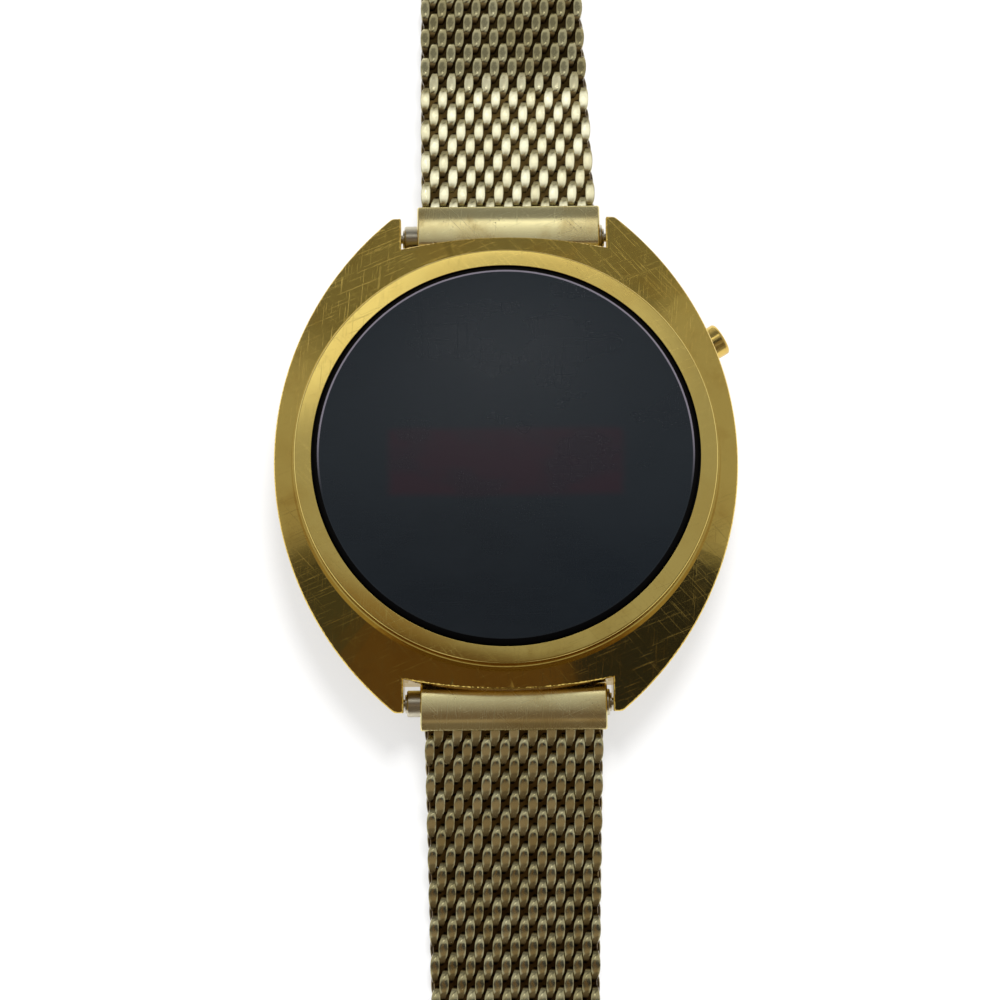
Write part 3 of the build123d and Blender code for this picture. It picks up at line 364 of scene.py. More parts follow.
# %% Gold finishes
def gold_plate(name, bright, tarnished, smooth=0.16, tarnish=0.5, pitting=0.3, brushed=0):
    """Gold plate: a bright and a tarnished colour, and how worn it is."""
    material, start, output = material_start(name)
    clouds = cloud(start, 6.0, 4.0, seed=1.0)
    stains = cloud(start, 2.2, 5.0, seed=7.0)
    wear = (clouds.step(0.42, 0.68) * 0.7 + stains.step(0.52, 0.7) * 0.5) * tarnish
    colour = wear.clamp().mix(bright, tarnished)
    lines = scratches(start, 22, 0.05, 5.0, 2.0) + scratches(start, -48, 0.06, 7.0, 5.0)
    lines = lines + scratches(start, 85, 0.05, 4.0, 9.0)
    spots = pits(start, 0.22, pitting, 4.0)
    roughness = smooth + 0.10 * wear + 0.12 * lines + 0.35 * spots
    height = 0.25 * (1 - lines) + (1 - spots)
    if brushed:
        hair = cloud(start, 0.05, 2.0, (1, 0.04, 1), 11.0)
        roughness = roughness + 0.15 * hair
        height = height + brushed * hair
    finish_with(start, output, colour, roughness.clamp(), height, 0.004, Metallic=1.0)
    return material


case_gold = gold_plate("case_gold", srgb(224, 194, 102), srgb(192, 150, 64), 0.07, 0.5, 0.12)
bezel_gold = gold_plate("bezel_gold", srgb(226, 200, 112), srgb(206, 172, 84), 0.07, 0.4, 0.16)
button_gold = gold_plate("button_gold", srgb(226, 196, 108), srgb(186, 146, 70), 0.18, 0.6, 0.2)
clasp_gold = gold_plate("clasp_gold", srgb(222, 194, 112), srgb(190, 150, 74), 0.26, 0.4, 0.1, 0.5)
end_gold = gold_plate("end_piece_gold", srgb(248, 236, 178), srgb(206, 176, 104), 0.2, 0.7, 0.45)
print("gold finishes:", [m.name for m in bpy.data.materials if "gold" in m.name])

# %% [markdown]
# ## The other finishes
#
# Steel, rubber, moulded plastic and the circuit board mostly hide inside, but a reader may
# open the case. Each gets its own grain: two close colours in soft noise of its own size, with
# a matching bump, and the board a lacquer coat over its green.

# %% A plain finish
def plain(name, colour, other, size, roughness, rough_change=0.1, depth=0.004, **constants):
    """A finish of two close colours in fine grains of a given size in millimetres."""
    material, start, output = material_start(name)
    grains = cloud(start, size, 4.0, seed=2.0)
    patches = cloud(start, size * 12, 3.0, seed=6.0)
    colour = (0.5 * grains + 0.5 * patches).mix(colour, other)
    finish_with(
        start, output, colour, roughness + rough_change * patches, grains, depth, **constants
    )
    return material


print("plain finish ready")

# %% Plain finishes
bar_steel = plain("bar_steel", srgb(172, 164, 140), srgb(226, 218, 196), 0.12, 0.26, Metallic=1.0)
back_steel = plain("back_steel", srgb(168, 165, 158), srgb(196, 193, 186), 0.1, 0.28, Metallic=1.0)
can_steel = plain("can_steel", srgb(180, 180, 176), srgb(205, 204, 198), 0.2, 0.2, Metallic=1.0)
seal_rubber = plain("seal_rubber", srgb(24, 24, 25), srgb(34, 34, 34), 0.15, 0.7)
mask_black = plain("mask_black", srgb(16, 16, 18), srgb(22, 22, 24), 0.2, 0.6)
frame_plastic = plain("frame_plastic", srgb(40, 40, 42), srgb(52, 52, 54), 0.3, 0.5)
chip_black = plain("chip_black", srgb(26, 26, 28), srgb(38, 38, 40), 0.15, 0.55)
board_green = plain("board_green", srgb(26, 84, 54), srgb(36, 104, 66), 0.4, 0.3, Coat_Weight=0.4)
ceramic_dark = plain("display_ceramic", srgb(70, 34, 38), srgb(84, 44, 46), 0.3, 0.3)
digit_red = plain("digit_red", srgb(120, 26, 28), srgb(150, 34, 34), 0.2, 0.3)
lens_red = plain("lens_red", srgb(110, 34, 40), srgb(128, 44, 48), 0.5, 0.12)
trimmer_brown = plain("trimmer_brown", srgb(126, 84, 46), srgb(146, 100, 58), 0.2, 0.45)
print("plain finishes ready")

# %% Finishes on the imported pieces
FINISH_OF = {
    "case_gold": case_gold, "bezel_gold": bezel_gold, "button_gold": button_gold,
    "back_steel": back_steel, "bar_steel": bar_steel, "spring_steel": bar_steel,
    "pin_steel": bar_steel, "can_steel": can_steel, "seal_rubber": seal_rubber,
    "mask_black": mask_black, "frame_plastic": frame_plastic, "chip_black": chip_black,
    "board_green": board_green, "display_ceramic": ceramic_dark, "digit_red": digit_red,
    "lens_clear": lens_red, "trimmer_brown": trimmer_brown, "end_piece_gold": end_gold,
    "clasp_gold": clasp_gold,
}
slot_of = {part["node"]: part["material_slot"] for part in frame["record"]["subparts"]}
for node, slot in slot_of.items():
    if slot in FINISH_OF:
        mesh = frame["nodes"][node].data
        mesh.materials.clear()
        mesh.materials.append(FINISH_OF[slot])
print("CAD nodes given a finish:", sum(slot in FINISH_OF for slot in slot_of.values()))

# %% [markdown]
# ## Crystal
#
# The crystal is mineral glass dyed so dark that the unlit display behind it is only a faint
# maroon window. Years of wiping have left hairlines along both directions, so it looks
# charcoal and not black. A see-through glass would need a long path of light to show so
# little. The dye, the window and the hairlines are painted into one glossy surface, with a
# painted highlight as a pale line along the upper half of the flat's rim.

# %% Crystal finish
WINDOW_HALF = (10.1, 2.95)
WINDOW_MIDDLE = (0.0, -0.8)
WINDOW_BLUR = (0.5, 0.4)  # half the width of the window's soft border
RIM_HIGHLIGHT_START = 16.06  # a painted highlight runs along the flat's rim from this radius on


def crystal_finish():
    material, start, output = material_start("dark_crystal")
    place = millimetres(start)
    x = start.node("SeparateXYZ", {}, {0: place}, output="X")
    y = start.node("SeparateXYZ", {}, {0: place}, output="Y")
    smear = cloud(start, 3.5, 3.0, (0.6, 1, 1), 2.0)
    ragged = 0.8 * (smear - 0.5)
    inside = [
        1 - ((axis - middle).math("ABSOLUTE") + ragged).step(half - blur, half + blur)
        for axis, middle, half, blur in zip((x, y), WINDOW_MIDDLE, WINDOW_HALF, WINDOW_BLUR)
    ]
    window = inside[0] * inside[1] * (0.55 + 0.45 * smear.step(0.4, 0.6))
    hair = scratches(start, 1, 0.07, 9.0, 3.0) + scratches(start, 90, 0.08, 7.0, 8.0)
    wiped = cloud(start, 0.12, 2.0, (0.05, 1, 1), 12.0)
    charcoal = (0.5 * smear + 0.5 * wiped).mix(srgb(9, 15, 20), srgb(18, 25, 31))
    tinted = (window * 0.75).mix(charcoal, srgb(31, 14, 23))
    # Painted highlight: a pale grey line along the flat's rim, on its upper half only, where the bevel's edge
    # would catch the light.
    from_middle = (x * x + y * y).math("SQRT")
    rim_highlight_paint = from_middle.step(RIM_HIGHLIGHT_START, RIM_HIGHLIGHT_START + 0.05) * y.step(-4, 3)
    tinted = (0.8 * rim_highlight_paint).mix(tinted, srgb(112, 106, 116))
    roughness = 0.22 + 0.12 * smear + 0.1 * hair
    finish_with(
        start, output, tinted, roughness.clamp(), 0.6 * wiped + 0.4 * (1 - hair), 0.0015,
        Specular_IOR_Level=0.4,
    )
    return material


dark_crystal = crystal_finish()
# Painted shade: the rim is near black with hardly any shine, in place of the dark wall it would mirror.
rim_painted_shade = plain("crystal_rim", srgb(3, 3, 4), srgb(6, 6, 7), 0.3, 0.5, Specular_IOR_Level=0.03)
print("crystal finish", len(dark_crystal.node_tree.nodes), "nodes")

# %% [markdown]
# ## Lathe work: bezel and crystal
#
# Both are turned parts, so a short profile spun once round the dial's axis makes them, with
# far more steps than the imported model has. A polished ring shows every flat step as a break
# in its highlight. For the same reason a modifier lets large faces set the normals: where a
# narrow round meets a flat, the flat then mirrors one thing and not a blur of two.

# %% The lathe
LATHE_STEPS = 192
LARGE_FACE_WEIGHT = 98


def piece_from(shape, name, finish, sharp=30):
    """A bmesh as a finished object at the origin, smooth but for its sharp edges."""
    mesh = bpy.data.meshes.new(name)
    shape.to_mesh(mesh)
    shape.free()
    mesh.shade_smooth()
    mesh.set_sharp_from_angle(angle=radians(sharp))
    mesh.materials.append(finish)
    made = bpy.data.objects.new(name, mesh)
    scene.collection.objects.link(made)
    print(name, len(mesh.polygons), "faces")
    return made


def even_normals(made):
    """Lets the large faces set the normals, so that flat metal mirrors as flat."""
    weights = made.modifiers.new("even_normals", "WEIGHTED_NORMAL")
    weights.keep_sharp = True
    weights.weight = LARGE_FACE_WEIGHT


def turned(profile):
    """Spins a profile of (radius, height) in millimetres round the dial's axis."""
    shape = bmesh.new()
    line = [shape.verts.new((radius * MM, 0, z * MM)) for radius, z in profile]
    edges = [shape.edges.new(pair) for pair in zip(line, line[1:])]
    bmesh.ops.spin(
        shape, geom=line + edges, cent=(0, 0, 0), axis=(0, 0, 1), angle=2 * pi,
        steps=LATHE_STEPS, use_merge=True,
    )
    bmesh.ops.remove_doubles(shape, verts=shape.verts, dist=0.002 * MM)
    bmesh.ops.recalc_face_normals(shape, faces=shape.faces)
    return shape


def rounded(centre, radius, start, end, steps=4):
    """Points of an arc in the profile, from one angle to another in degrees."""
    turn = (end - start) / steps
    return [
        (centre[0] + radius * cos(radians(start + turn * i)),
         centre[1] + radius * sin(radians(start + turn * i)))
        for i in range(steps + 1)
    ]


print("lathe turns in", LATHE_STEPS, "steps")

# %% Bezel
bezel_low, bezel_high = (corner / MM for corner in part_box("bezel"))
BEZEL_INNER = 16.76
BEZEL_ROUND = 0.14  # on the outer edge
BEZEL_FOOT_ROUND = 0.05
BEZEL_FALL = 0.04  # the outer edge lies this much lower than the inner one
BEZEL_LIP = 0.07  # the round next to the crystal
BEZEL_GROOVE = (0.22, 0.16)  # depth and height of the seam above the case
edge_height = bezel_high.z - BEZEL_FALL
groove_reach = bezel_high.x - BEZEL_GROOVE[0]
groove_top = bezel_low.z + BEZEL_GROOVE[1]
foot_middle = (bezel_high.x - BEZEL_FOOT_ROUND, groove_top + BEZEL_FOOT_ROUND)
bezel_shape = turned([
    (BEZEL_INNER, bezel_low.z),
    (groove_reach, bezel_low.z),
    (groove_reach, groove_top),
    *rounded(foot_middle, BEZEL_FOOT_ROUND, -90, 0, 2),
    *rounded((bezel_high.x - BEZEL_ROUND, edge_height - BEZEL_ROUND), BEZEL_ROUND, 0, 88),
    *rounded((BEZEL_INNER + BEZEL_LIP, bezel_high.z - BEZEL_LIP), BEZEL_LIP, 88, 180),
    (BEZEL_INNER, bezel_low.z),
])
bezel = piece_from(bezel_shape, "bezel_ring", bezel_gold)
even_normals(bezel)
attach(bezel, "case")
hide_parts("bezel")

# %% [markdown]
# ## Crystal disc and rim
#
# The disc's bevelled rim looks black all round, as it mirrors the dark inner wall of the
# bezel. It is a ring of its own here, painted near black with almost no shine: painted shade
# for that dark reflection. So no mask has to find the bevel inside the crystal's material.

# %% Crystal
crystal_low, crystal_high = (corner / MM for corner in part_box("crystal"))
CRYSTAL_BEVEL = (0.5, 0.6)  # width and height of the sloping rim
flat_radius = crystal_high.x - CRYSTAL_BEVEL[0]
disc_radius = flat_radius + 0.06
bevel_start = crystal_high.z - CRYSTAL_BEVEL[1]
crystal_shape = turned([
    (0, crystal_low.z),
    (disc_radius, crystal_low.z),
    (disc_radius, crystal_high.z - 0.035),
    (flat_radius, crystal_high.z - 0.01),
    (flat_radius - 0.04, crystal_high.z),
    (0, crystal_high.z),
])
crystal = piece_from(crystal_shape, "crystal_disc", dark_crystal, 20)
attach(crystal, "case")
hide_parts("crystal")
rim_shape = turned([
    (disc_radius, crystal_low.z),
    (crystal_high.x, crystal_low.z),
    (crystal_high.x, bevel_start - 0.06),
    (crystal_high.x - 0.03, bevel_start),
    (disc_radius, crystal_high.z - 0.04),
    (disc_radius, crystal_low.z),
])
crystal_rim = piece_from(rim_shape, "crystal_rim", rim_painted_shade, 20)
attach(crystal_rim, "case")

# %% [markdown]
# ## Case, button, bars and clasp
#
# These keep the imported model's own shape. Its mesh is loose triangles, so a copy is merged,
# its long flat faces are joined again, and its normals follow the large faces. Polished metal
# needs that: a normal that leans at a corner shows as a dent in the reflection. The case's top
# was turned as a cone that falls gently from the collar to the rim. A few long triangles hold
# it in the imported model, so planes through the dial's axis cut it into narrow sectors first.

# %% Smooth copies of CAD nodes
JOIN_ANGLE = radians(0.3)
MERGE_GAP = 0.001 * MM
CROWN_SLOPE = 7.0
CROWN_APEX = 10.486  # where the crown's cone would meet the dial's axis
CROWN_REACH = 0.03  # corners this near to the cone are set on it
CROWN_CUTS = 60


def turn_crown(shape):
    """Cuts the case's conical top into narrow sectors and sets each corner on the cone."""
    for number in range(CROWN_CUTS):
        angle = pi * (number + 0.5) / CROWN_CUTS
        bmesh.ops.bisect_plane(
            shape, geom=shape.verts[:] + shape.edges[:] + shape.faces[:], dist=MERGE_GAP,
            plane_co=(0, 0, 0), plane_no=(-sin(angle), cos(angle), 0),
        )
    moved = 0
    for vert in shape.verts:
        cone = CROWN_APEX * MM - vert.co.xy.length * tan(radians(CROWN_SLOPE))
        if abs(vert.co.z - cone) < CROWN_REACH * MM:
            vert.co.z = cone
            moved += 1
    print("crown:", moved, "corners on the cone in", 2 * CROWN_CUTS, "sectors")


def smooth_copy(node, name, finish, sharp=30, reshape=None):
    """A merged copy of a CAD node with clean normals, standing for that node."""
    shape = bmesh.new()
    shape.from_mesh(frame["nodes"][node].data)
    bmesh.ops.remove_doubles(shape, verts=shape.verts, dist=MERGE_GAP)
    bmesh.ops.dissolve_limit(
        shape, angle_limit=JOIN_ANGLE, verts=shape.verts, edges=shape.edges
    )
    if reshape:
        reshape(shape)
    made = piece_from(shape, name, finish, sharp)
    even_normals(made)
    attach(made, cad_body[node])
    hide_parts(node)


print("copies merge corners closer than", MERGE_GAP / MM, "mm")

# %% The pieces that keep their shape
hinge_at = {
    joint["child"]: Vector(joint["pos_m"]) / MM
    for joint in frame["joints"] if joint["type"] == "hinge"
}
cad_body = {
    node: body
    for body, members in frame["record"]["behaviour"]["bodies"].items()
    for node in members
}
smooth_copy("case_middle", "case_shell", case_gold, 9, turn_crown)
smooth_copy("push_button", "button_head", button_gold)
for bar in ("spring_bar_top", "spring_bar_bottom"):
    smooth_copy(bar, bar + "_tube", bar_steel)
for node in ("ferrule", "tail_tip", "clasp_slider", "lock_lever", "hook_plate"):
    smooth_copy(node, node + "_plate", clasp_gold)

# %% [markdown]
# ## End pieces
#
# Each end piece was pressed from one strip, folded round the spring bar and over the mesh. Its
# top is a low barrel, so it shows a dark strip, a bright line and a soft gold field side by
# side, where a flat top would show one colour. Its section is drawn in small steps of slope,
# because the slope decides what each strip mirrors, and is then extruded across the band.

# %% End pieces
CAP_HALF_WIDTH = 8.05
CAP_NOSE = 1.66  # bar centre to the face next to the case
CAP_NOSE_ROUND = 1.0
CAP_TOP = 1.7  # bar centre to the crest
CAP_SIDE_ROUND = 0.18
CAP_EDGE_ROUND = 0.3  # where the top turns down to the mesh
CAP_EDGE_TURN = 8  # degrees of that turn left out, so that the edge stays crisp
CAP_FOOT_ROUND = 0.5
CAP_SOCKET = 0.92  # half the height of the mouth that takes the mesh
CAP_SOCKET_DEPTH = 0.7
CAP_SLOPES = {  # degrees that the top falls outwards, and for how many millimetres
    "top": ((-9, 0.5), (-6, 0.6), (-3.5, 0.5), (-1, 0.4), (3, 0.35), (8, 0.4), (14, 0.45)),
    "bottom": ((-16, 0.3), (-13, 0.5), (-11, 0.7), (-8, 0.7), (2, 0.4), (14, 0.35), (34, 0.3)),
}


def cap_section(half):
    """The section's outline in the band's own plane: outward along the band, and up."""
    lean, _ = CAP_SLOPES[half][0]
    rise = sum(max(-run * sin(radians(lean)), 0) for lean, run in CAP_SLOPES[half])
    middle = (CAP_NOSE_ROUND - CAP_NOSE, CAP_TOP - rise - CAP_NOSE_ROUND)
    outline = rounded(middle, CAP_NOSE_ROUND, 180, 90 - lean, 8)
    for lean, run in CAP_SLOPES[half]:
        reach, height = outline[-1]
        outline.append((reach + run * cos(radians(lean)), height - run * sin(radians(lean))))
    reach, height = outline[-1]
    corner = 90 - lean - CAP_EDGE_TURN
    middle = (
        reach - CAP_EDGE_ROUND * cos(radians(corner)),
        height - CAP_EDGE_ROUND * sin(radians(corner)),
    )
    outline += rounded(middle, CAP_EDGE_ROUND, corner, 0, 4)[1:]
    reach = outline[-1][0]
    outline += [
        (reach, CAP_SOCKET), (reach - CAP_SOCKET_DEPTH, CAP_SOCKET),
        (reach - CAP_SOCKET_DEPTH, -CAP_SOCKET), (reach, -CAP_SOCKET),
    ]
    foot = (reach - CAP_FOOT_ROUND, CAP_FOOT_ROUND - CAP_TOP)
    outline += rounded(foot, CAP_FOOT_ROUND, 0, -90, 4)
    nose = (CAP_NOSE_ROUND - CAP_NOSE, CAP_NOSE_ROUND - CAP_TOP)
    outline += rounded(nose, CAP_NOSE_ROUND, -90, -180, 6)
    return outline


def end_cap(half):
    """One end piece, drawn lying along +Y from its bar and then set in the band's line."""
    bar = hinge_at["end_piece_" + half]
    along = (hinge_at[f"mesh_{half}_1"] - bar).normalized()
    across = Vector((1 if half == "top" else -1, 0, 0))
    shape = bmesh.new()
    ring = [shape.verts.new((-CAP_HALF_WIDTH, *point)) for point in cap_section(half)]
    face = shape.faces.new(ring)
    pushed = bmesh.ops.extrude_face_region(shape, geom=[face], use_keep_orig=True)["geom"]
    far = [item for item in pushed if isinstance(item, bmesh.types.BMVert)]
    bmesh.ops.translate(shape, vec=(2 * CAP_HALF_WIDTH, 0, 0), verts=far)
    bmesh.ops.recalc_face_normals(shape, faces=shape.faces)
    ends = [e for e in shape.edges if abs(e.verts[0].co.x - e.verts[1].co.x) < 0.001]
    bmesh.ops.bevel(
        shape, geom=ends, offset=CAP_SIDE_ROUND, offset_type="OFFSET", affect="EDGES",
        segments=3, profile=0.5, material=-1, clamp_overlap=True,
    )
    turn = Matrix((across, along, across.cross(along))).transposed().to_4x4()
    bmesh.ops.transform(
        shape, matrix=Matrix.Scale(MM, 4) @ Matrix.Translation(bar) @ turn, verts=shape.verts
    )
    made = piece_from(shape, "end_cap_" + half, end_gold, 40)
    even_normals(made)
    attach(made, "end_piece_" + half)
    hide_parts("end_piece_" + half)


end_cap("top")
end_cap("bottom")

# %% [markdown]
# ## Mesh finish
#
# The mesh is plated wire, rolled flat after weaving. Its colour follows how high the wire
# lies in the weave: pale gold on the rolled faces, darker and browner further down, where the
# coils cross. Numbers stored at each vertex of the coil say how high it lies in the weave, how
# bright its crown is, and how much painted highlight it carries: the rolled faces of the upper
# half's coils next to the case are painted near white, with less metal shine, for the glare
# they catch. The finish reads them, so these colours follow the wire wherever the band bends.

# %% Mesh finish
def mesh_finish():
    material, start, output = material_start("mesh_gold")
    lift = start.node("Attribute", {"attribute_name": "lift"}, {}, output="Fac")
    tone = start.node("Attribute", {"attribute_name": "tone"}, {}, output="Fac")
    painted_glare = start.node("Attribute", {"attribute_name": "painted_glare"}, {}, output="Fac")
    stains = cloud(start, 1.6, 4.0, seed=5.0)
    # The wire's colour goes from dark brown low in the weave to pale gold on its raised faces.
    raised = (lift + 0.25 * (stains - 0.5)).step(0.45, 0.95)
    flat = (0.6 * tone + 0.4 * stains).mix(srgb(196, 182, 128), srgb(236, 228, 182))
    deep = stains.step(0.4, 0.7).mix(srgb(72, 56, 26), srgb(104, 84, 44))
    rolled = (lift + 0.2 * (stains - 0.5)).step(0.8, 0.98)
    # Painted highlight: the rolled faces of the upper half's coils next to the case go near white.
    flat_with_glare = (painted_glare * rolled * (0.55 + 0.45 * tone)).mix(flat, srgb(246, 242, 208))
    colour = raised.mix(deep, flat_with_glare)
    spots = pits(start, 0.12, 0.35, 2.0)
    roughness = 0.2 - 0.06 * raised + 0.3 * spots + 0.06 * stains
    grains = cloud(start, 0.05, 2.0, seed=9.0)
    # Less metal where the painted highlight lies, so that its near white shows.
    finish_with(
        start, output, colour, roughness.clamp(), (1 - spots) + 0.3 * grains, 0.006,
        Metallic=1 - 0.55 * painted_glare * rolled,
    )
    return material


mesh_gold = mesh_finish()
print("mesh finish", len(mesh_gold.node_tree.nodes), "nodes")

# %% [markdown]
# ## One coil of the mesh
#
# Milanese mesh is made by winding wire into a long flat spiral and screwing each spiral into
# the last, then rolling the cloth flat. The same steps work here: the wire's section is spun
# round a line across the band with a step sideways each time, which winds a round spiral.
# Its two sides are then pulled apart along the band, which flattens it, and each crown is
# straightened. The spiral has 19 half turns, so 10 crowns show on one face and 9 on the other,
# and a coil turned over fills the gaps of its neighbours.

# %% The wire and its spiral
COIL_PITCH = 1.55  # from one coil to the next along the band
COLUMNS = 19
WIRE = (1.02, 0.44)  # the rolled wire's width as a share of a column, and its thickness
ROUND_WIDTH = 0.45  # how wide the wire is at its turns, as a share of its rolled width
WIRE_EDGE = 0.12
CROWN_HEIGHT = 0.93  # from the middle of the mesh to a crown's top, before rolling
ROLLED_HEIGHT = 0.78  # where the rollers pressed the crowns flat
ROLLED_SHARE = 0.2  # how much of the rest of the crown is left
HALF_REACH = 1.5  # from the middle of a coil to its round end
STEPS = 12  # per half turn
STRAIGHTEN = 0.8  # 0 leaves the crowns slanted, 1 makes their middles run straight
COLUMN_STEP = 1.0  # the template's columns are one apart, and each coil scales them

wind_radius = CROWN_HEIGHT - WIRE[1] / 2
pull = HALF_REACH - WIRE[1] / 2 - wind_radius

coil_shape = bmesh.new()
bmesh.ops.create_grid(coil_shape, x_segments=1, y_segments=1, size=0.5)
bmesh.ops.scale(coil_shape, vec=(WIRE[0], WIRE[1], 1), verts=coil_shape.verts)
bmesh.ops.bevel(
    coil_shape, geom=coil_shape.verts[:], offset=WIRE_EDGE, offset_type="OFFSET",
    affect="VERTICES", segments=1, profile=0.5, material=-1,
)
bmesh.ops.translate(
    coil_shape, vec=(0, -wind_radius, 0), verts=coil_shape.verts
)
section = len(coil_shape.verts)
bmesh.ops.delete(coil_shape, geom=coil_shape.faces[:], context="FACES_ONLY")
bmesh.ops.spin(
    coil_shape, geom=coil_shape.verts[:] + coil_shape.edges[:], cent=(0, 0, 0),
    axis=(1, 0, 0), angle=-pi * COLUMNS, steps=STEPS * COLUMNS,
    dvec=(COLUMN_STEP / STEPS, 0, 0),
)
coil_shape.verts.ensure_lookup_table()
print("spiral:", len(coil_shape.verts), "points,", section, "round the wire")

# %% Pressing it flat
lift_of = coil_shape.verts.layers.float.new("lift")
last_column = (COLUMNS - 1) / 2 * COLUMN_STEP
rings = [coil_shape.verts[i:i + section] for i in range(0, len(coil_shape.verts), section)]
for number, ring in enumerate(rings):
    turn = pi * number / STEPS
    wound = number * COLUMN_STEP / STEPS
    column = wound - COLUMN_STEP * (COLUMNS / 2 - STRAIGHTEN * sin(2 * turn) / (2 * pi))
    column = max(-last_column, min(last_column, column))
    width = ROUND_WIDTH + (1 - ROUND_WIDTH) * abs(sin(turn)) ** 1.3
    bmesh.ops.translate(coil_shape, vec=(-wound, 0, 0), verts=ring)
    bmesh.ops.scale(coil_shape, vec=(width, 1, 1), verts=ring)
    bmesh.ops.translate(coil_shape, vec=(column, -pull * cos(turn), 0), verts=ring)
bmesh.ops.holes_fill(coil_shape, edges=coil_shape.edges, sides=section)
bmesh.ops.recalc_face_normals(coil_shape, faces=coil_shape.faces)
for vert in coil_shape.verts:
    vert[lift_of] = abs(vert.co.z) / CROWN_HEIGHT
    beyond = max(abs(vert.co.z) - ROLLED_HEIGHT, 0) * (1 - ROLLED_SHARE)
    vert.co.z -= beyond if vert.co.z > 0 else -beyond
coil_mesh = bpy.data.meshes.new("coil")
coil_shape.to_mesh(coil_mesh)
spread = [max(v.co[i] for v in coil_shape.verts) for i in range(3)]
print("coil reaches", [round(c, 2) for c in spread], "mm,", len(coil_shape.faces), "faces")
coil_shape.free()

# %% [markdown]
# ## The wires that cross inside
#
# Where two real coils are screwed together their turns cross in the middle of the cloth, and
# hardly any light comes through. The coils here cross less tightly. A bevelled strip in the
# middle of each one closes the slits that would be left between them.

# %% The wires that cross inside
CORE = (COLUMNS - 0.6, 1.62, 0.5)  # columns wide, then millimetres along the band and thick
core_shape = bmesh.new()
bmesh.ops.create_cube(core_shape, size=1, matrix=Matrix.Diagonal((*CORE, 1)))
bmesh.ops.bevel(
    core_shape, geom=core_shape.edges[:], offset=0.12, offset_type="OFFSET",
    affect="EDGES", segments=1, profile=0.5, material=-1, clamp_overlap=True,
)
# With its lift left at 0, the strip takes the mesh finish's darkest colour.
core_shape.verts.layers.float.new("lift")
core_mesh = bpy.data.meshes.new("core")
core_shape.to_mesh(core_mesh)
core_shape.free()
print("core strip", len(core_mesh.polygons), "faces")

# %% [markdown]
# ## The two halves of the band
#
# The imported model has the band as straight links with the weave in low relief, seven coils
# long and hinged where they meet. Each link's coils make one piece that rides on that link.
# Where the links bend at rest the coils follow a smoothed line through the hinges, because
# real mesh bends from coil to coil.

# %% The line of each half
LINKS = {"top": 6, "bottom": 8}
LINK_COILS = 7
TAIL_COILS = 20
FIRST_COILS_INSIDE = 1  # coils that the end piece holds
START_WIDTH, END_WIDTH = 15.45, 12.7
TAPER_LENGTH = LINKS["top"] * LINK_COILS * COIL_PITCH
SMOOTH_REACH = 2.3
BOW = {"top": -0.5, "bottom": -0.15}  # how far each half lies out of straight
LEVEL_COILS = 8  # the upper half's first coils lie flatter than the line of the band
LEVEL_ANGLE = radians(8.0)
GLARE_COILS = 8  # and their rolled faces carry a painted highlight

ferrule_low, ferrule_high = (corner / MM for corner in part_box("ferrule"))
tail_low, tail_high = (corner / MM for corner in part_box("mesh_tail"))
band_x = hinge_at["mesh_top_1"].x
routes = {
    "top": [hinge_at[f"mesh_top_{i + 1}"] for i in range(LINKS["top"])]
    + [Vector((band_x, ferrule_low.y, (ferrule_low.z + ferrule_high.z) / 2))],
    "bottom": [hinge_at[f"mesh_bottom_{i + 1}"] for i in range(LINKS["bottom"])]
    + [hinge_at["mesh_tail"], Vector((band_x, tail_low.y, hinge_at["mesh_tail"].z))],
}
print("hinges and end of each half:", {half: len(points) for half, points in routes.items()})


# %% Places along the band
def on_polyline(points, distance):
    """The point this far along straight runs, carried on past either end."""
    for start, end in zip(points, points[1:]):
        run = (end - start).length
        if distance <= run or end is points[-1]:
            return start + (end - start) * (distance / run)
        distance -= run


def on_band(half, distance):
    """Place and direction of the band at a distance from its first hinge."""
    points = routes[half]

    def smoothed(at):
        near = [on_polyline(points, at + SMOOTH_REACH * step) for step in (-1, 0, 1)]
        return sum(near, Vector()) / len(near)

    ahead, behind = smoothed(distance + 0.5), smoothed(distance - 0.5)
    return smoothed(distance), (ahead - behind).normalized()


def sideways(half, distance):
    """The lying band is not quite straight: each half bows a little to one side."""
    reach = LINKS[half] * LINK_COILS * COIL_PITCH
    return BOW[half] * sin(pi * min(max(distance, 0), reach) / reach)


def band_width(distance):
    share = min(max(distance / TAPER_LENGTH, 0), 1)
    return START_WIDTH + (END_WIDTH - START_WIDTH) * share


for half in LINKS:
    print(half, "half starts at", [round(c, 2) for c in on_band(half, 0)[0]], "mm")

# %% [markdown]
# ## Weaving
#
# A real coil is screwed into the one before it, half a column further along. Here each second
# coil is turned over, which shifts its crowns by half their spacing, and every coil is set in
# place with a little error of its own, as hand-fed mesh has.

# %% Weaving
rng = random.Random(11)


def near_case(half, number, coils):
    """1 for the upper half's coils next to the case, falling to 0 at the given coil."""
    return max(0, min(1, (coils - number) / 2)) if half == "top" else 0


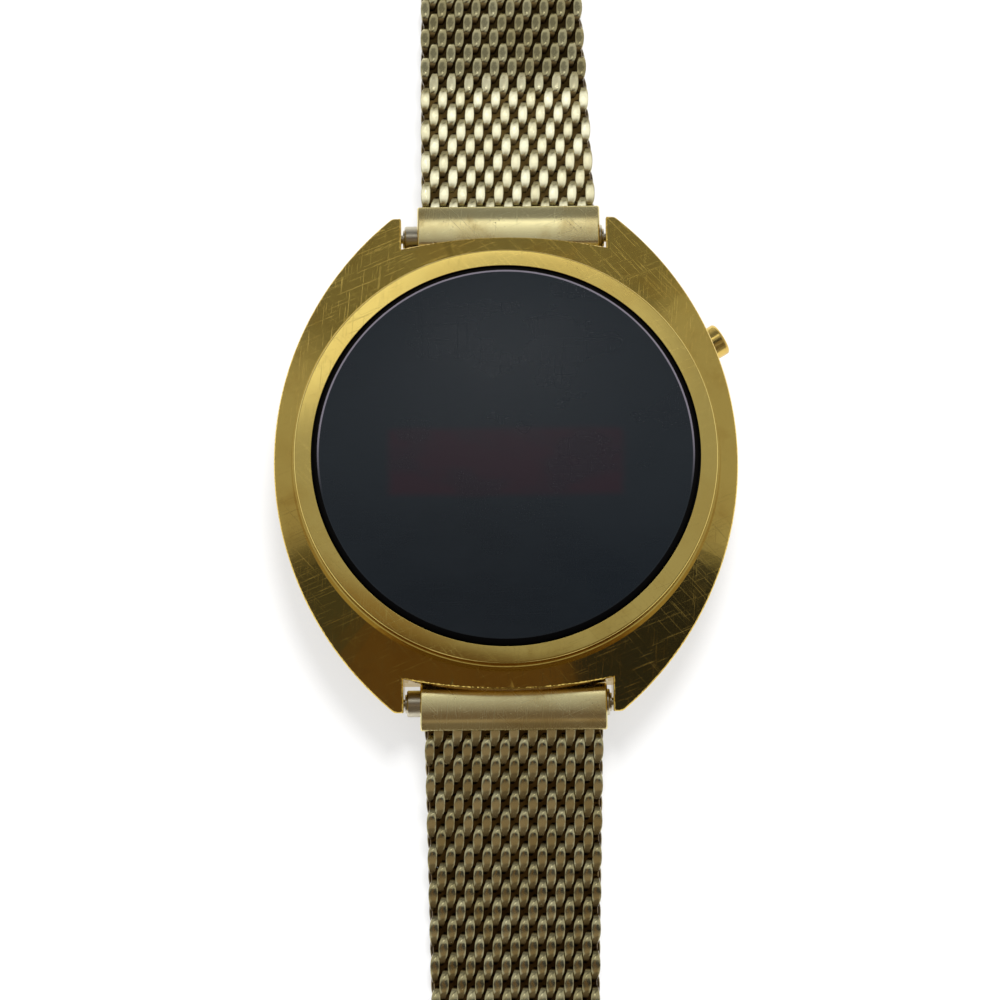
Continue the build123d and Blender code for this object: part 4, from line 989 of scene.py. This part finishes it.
def weave(half, first, count, name):
    """One piece of mesh: count coils from the given one, counted from the first hinge."""
    shape = bmesh.new()
    for number in range(first, first + count):
        distance = (number + 0.5) * COIL_PITCH
        place, along = on_band(half, distance)
        place.x += sideways(half, distance)
        across = Vector((1 if half == "top" else -1, 0, 0))
        columns = band_width(distance) / (COLUMNS - 1 + WIRE[0])
        squeeze = Matrix.Diagonal((columns, 1, 1, 1))
        if number % 2:
            squeeze = Matrix.Rotation(pi, 4, "X") @ squeeze
        tilt = Matrix.Rotation(radians(rng.uniform(-0.5, 0.5)), 4, "Z")
        rows = Matrix((across, along, across.cross(along))).transposed().to_4x4()
        level = LEVEL_ANGLE * near_case(half, number, LEVEL_COILS)
        tilt = Matrix.Rotation(level, 4, "X") @ tilt
        jitter = Vector((0, rng.uniform(-0.03, 0.03), rng.uniform(-0.015, 0.015)))
        before = len(shape.verts)
        shape.from_mesh(coil_mesh)
        shape.from_mesh(core_mesh)
        layers = shape.verts.layers.float
        if number == first:
            layers.new("tone")
            layers.new("painted_glare")
        tone_of, painted_glare_of = layers["tone"], layers["painted_glare"]
        shape.verts.ensure_lookup_table()
        fresh = shape.verts[before:]
        bmesh.ops.transform(
            shape, matrix=Matrix.Scale(MM, 4) @ Matrix.Translation(place + jitter)
            @ rows @ tilt @ squeeze, verts=fresh,
        )
        for vert in fresh:
            vert[painted_glare_of] = near_case(half, number, GLARE_COILS)
        for start in range(0, len(fresh), section * STEPS):
            tone = rng.random()
            for vert in fresh[start:start + section * STEPS]:
                vert[tone_of] = tone
    return piece_from(shape, name, mesh_gold, 38)


print("loom ready")

# %% The pieces of the band
for half, links in LINKS.items():
    for link in range(links):
        node = f"mesh_{half}_{link + 1}"
        made = weave(half, link * LINK_COILS, LINK_COILS, f"weave_{half}_{link + 1}")
        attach(made, node)
        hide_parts(node)
    inside = weave(half, -FIRST_COILS_INSIDE, FIRST_COILS_INSIDE, f"weave_{half}_root")
    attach(inside, "end_piece_" + half)
tail = weave("bottom", LINKS["bottom"] * LINK_COILS, TAIL_COILS, "weave_tail")
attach(tail, "mesh_tail")
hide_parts("mesh_tail")
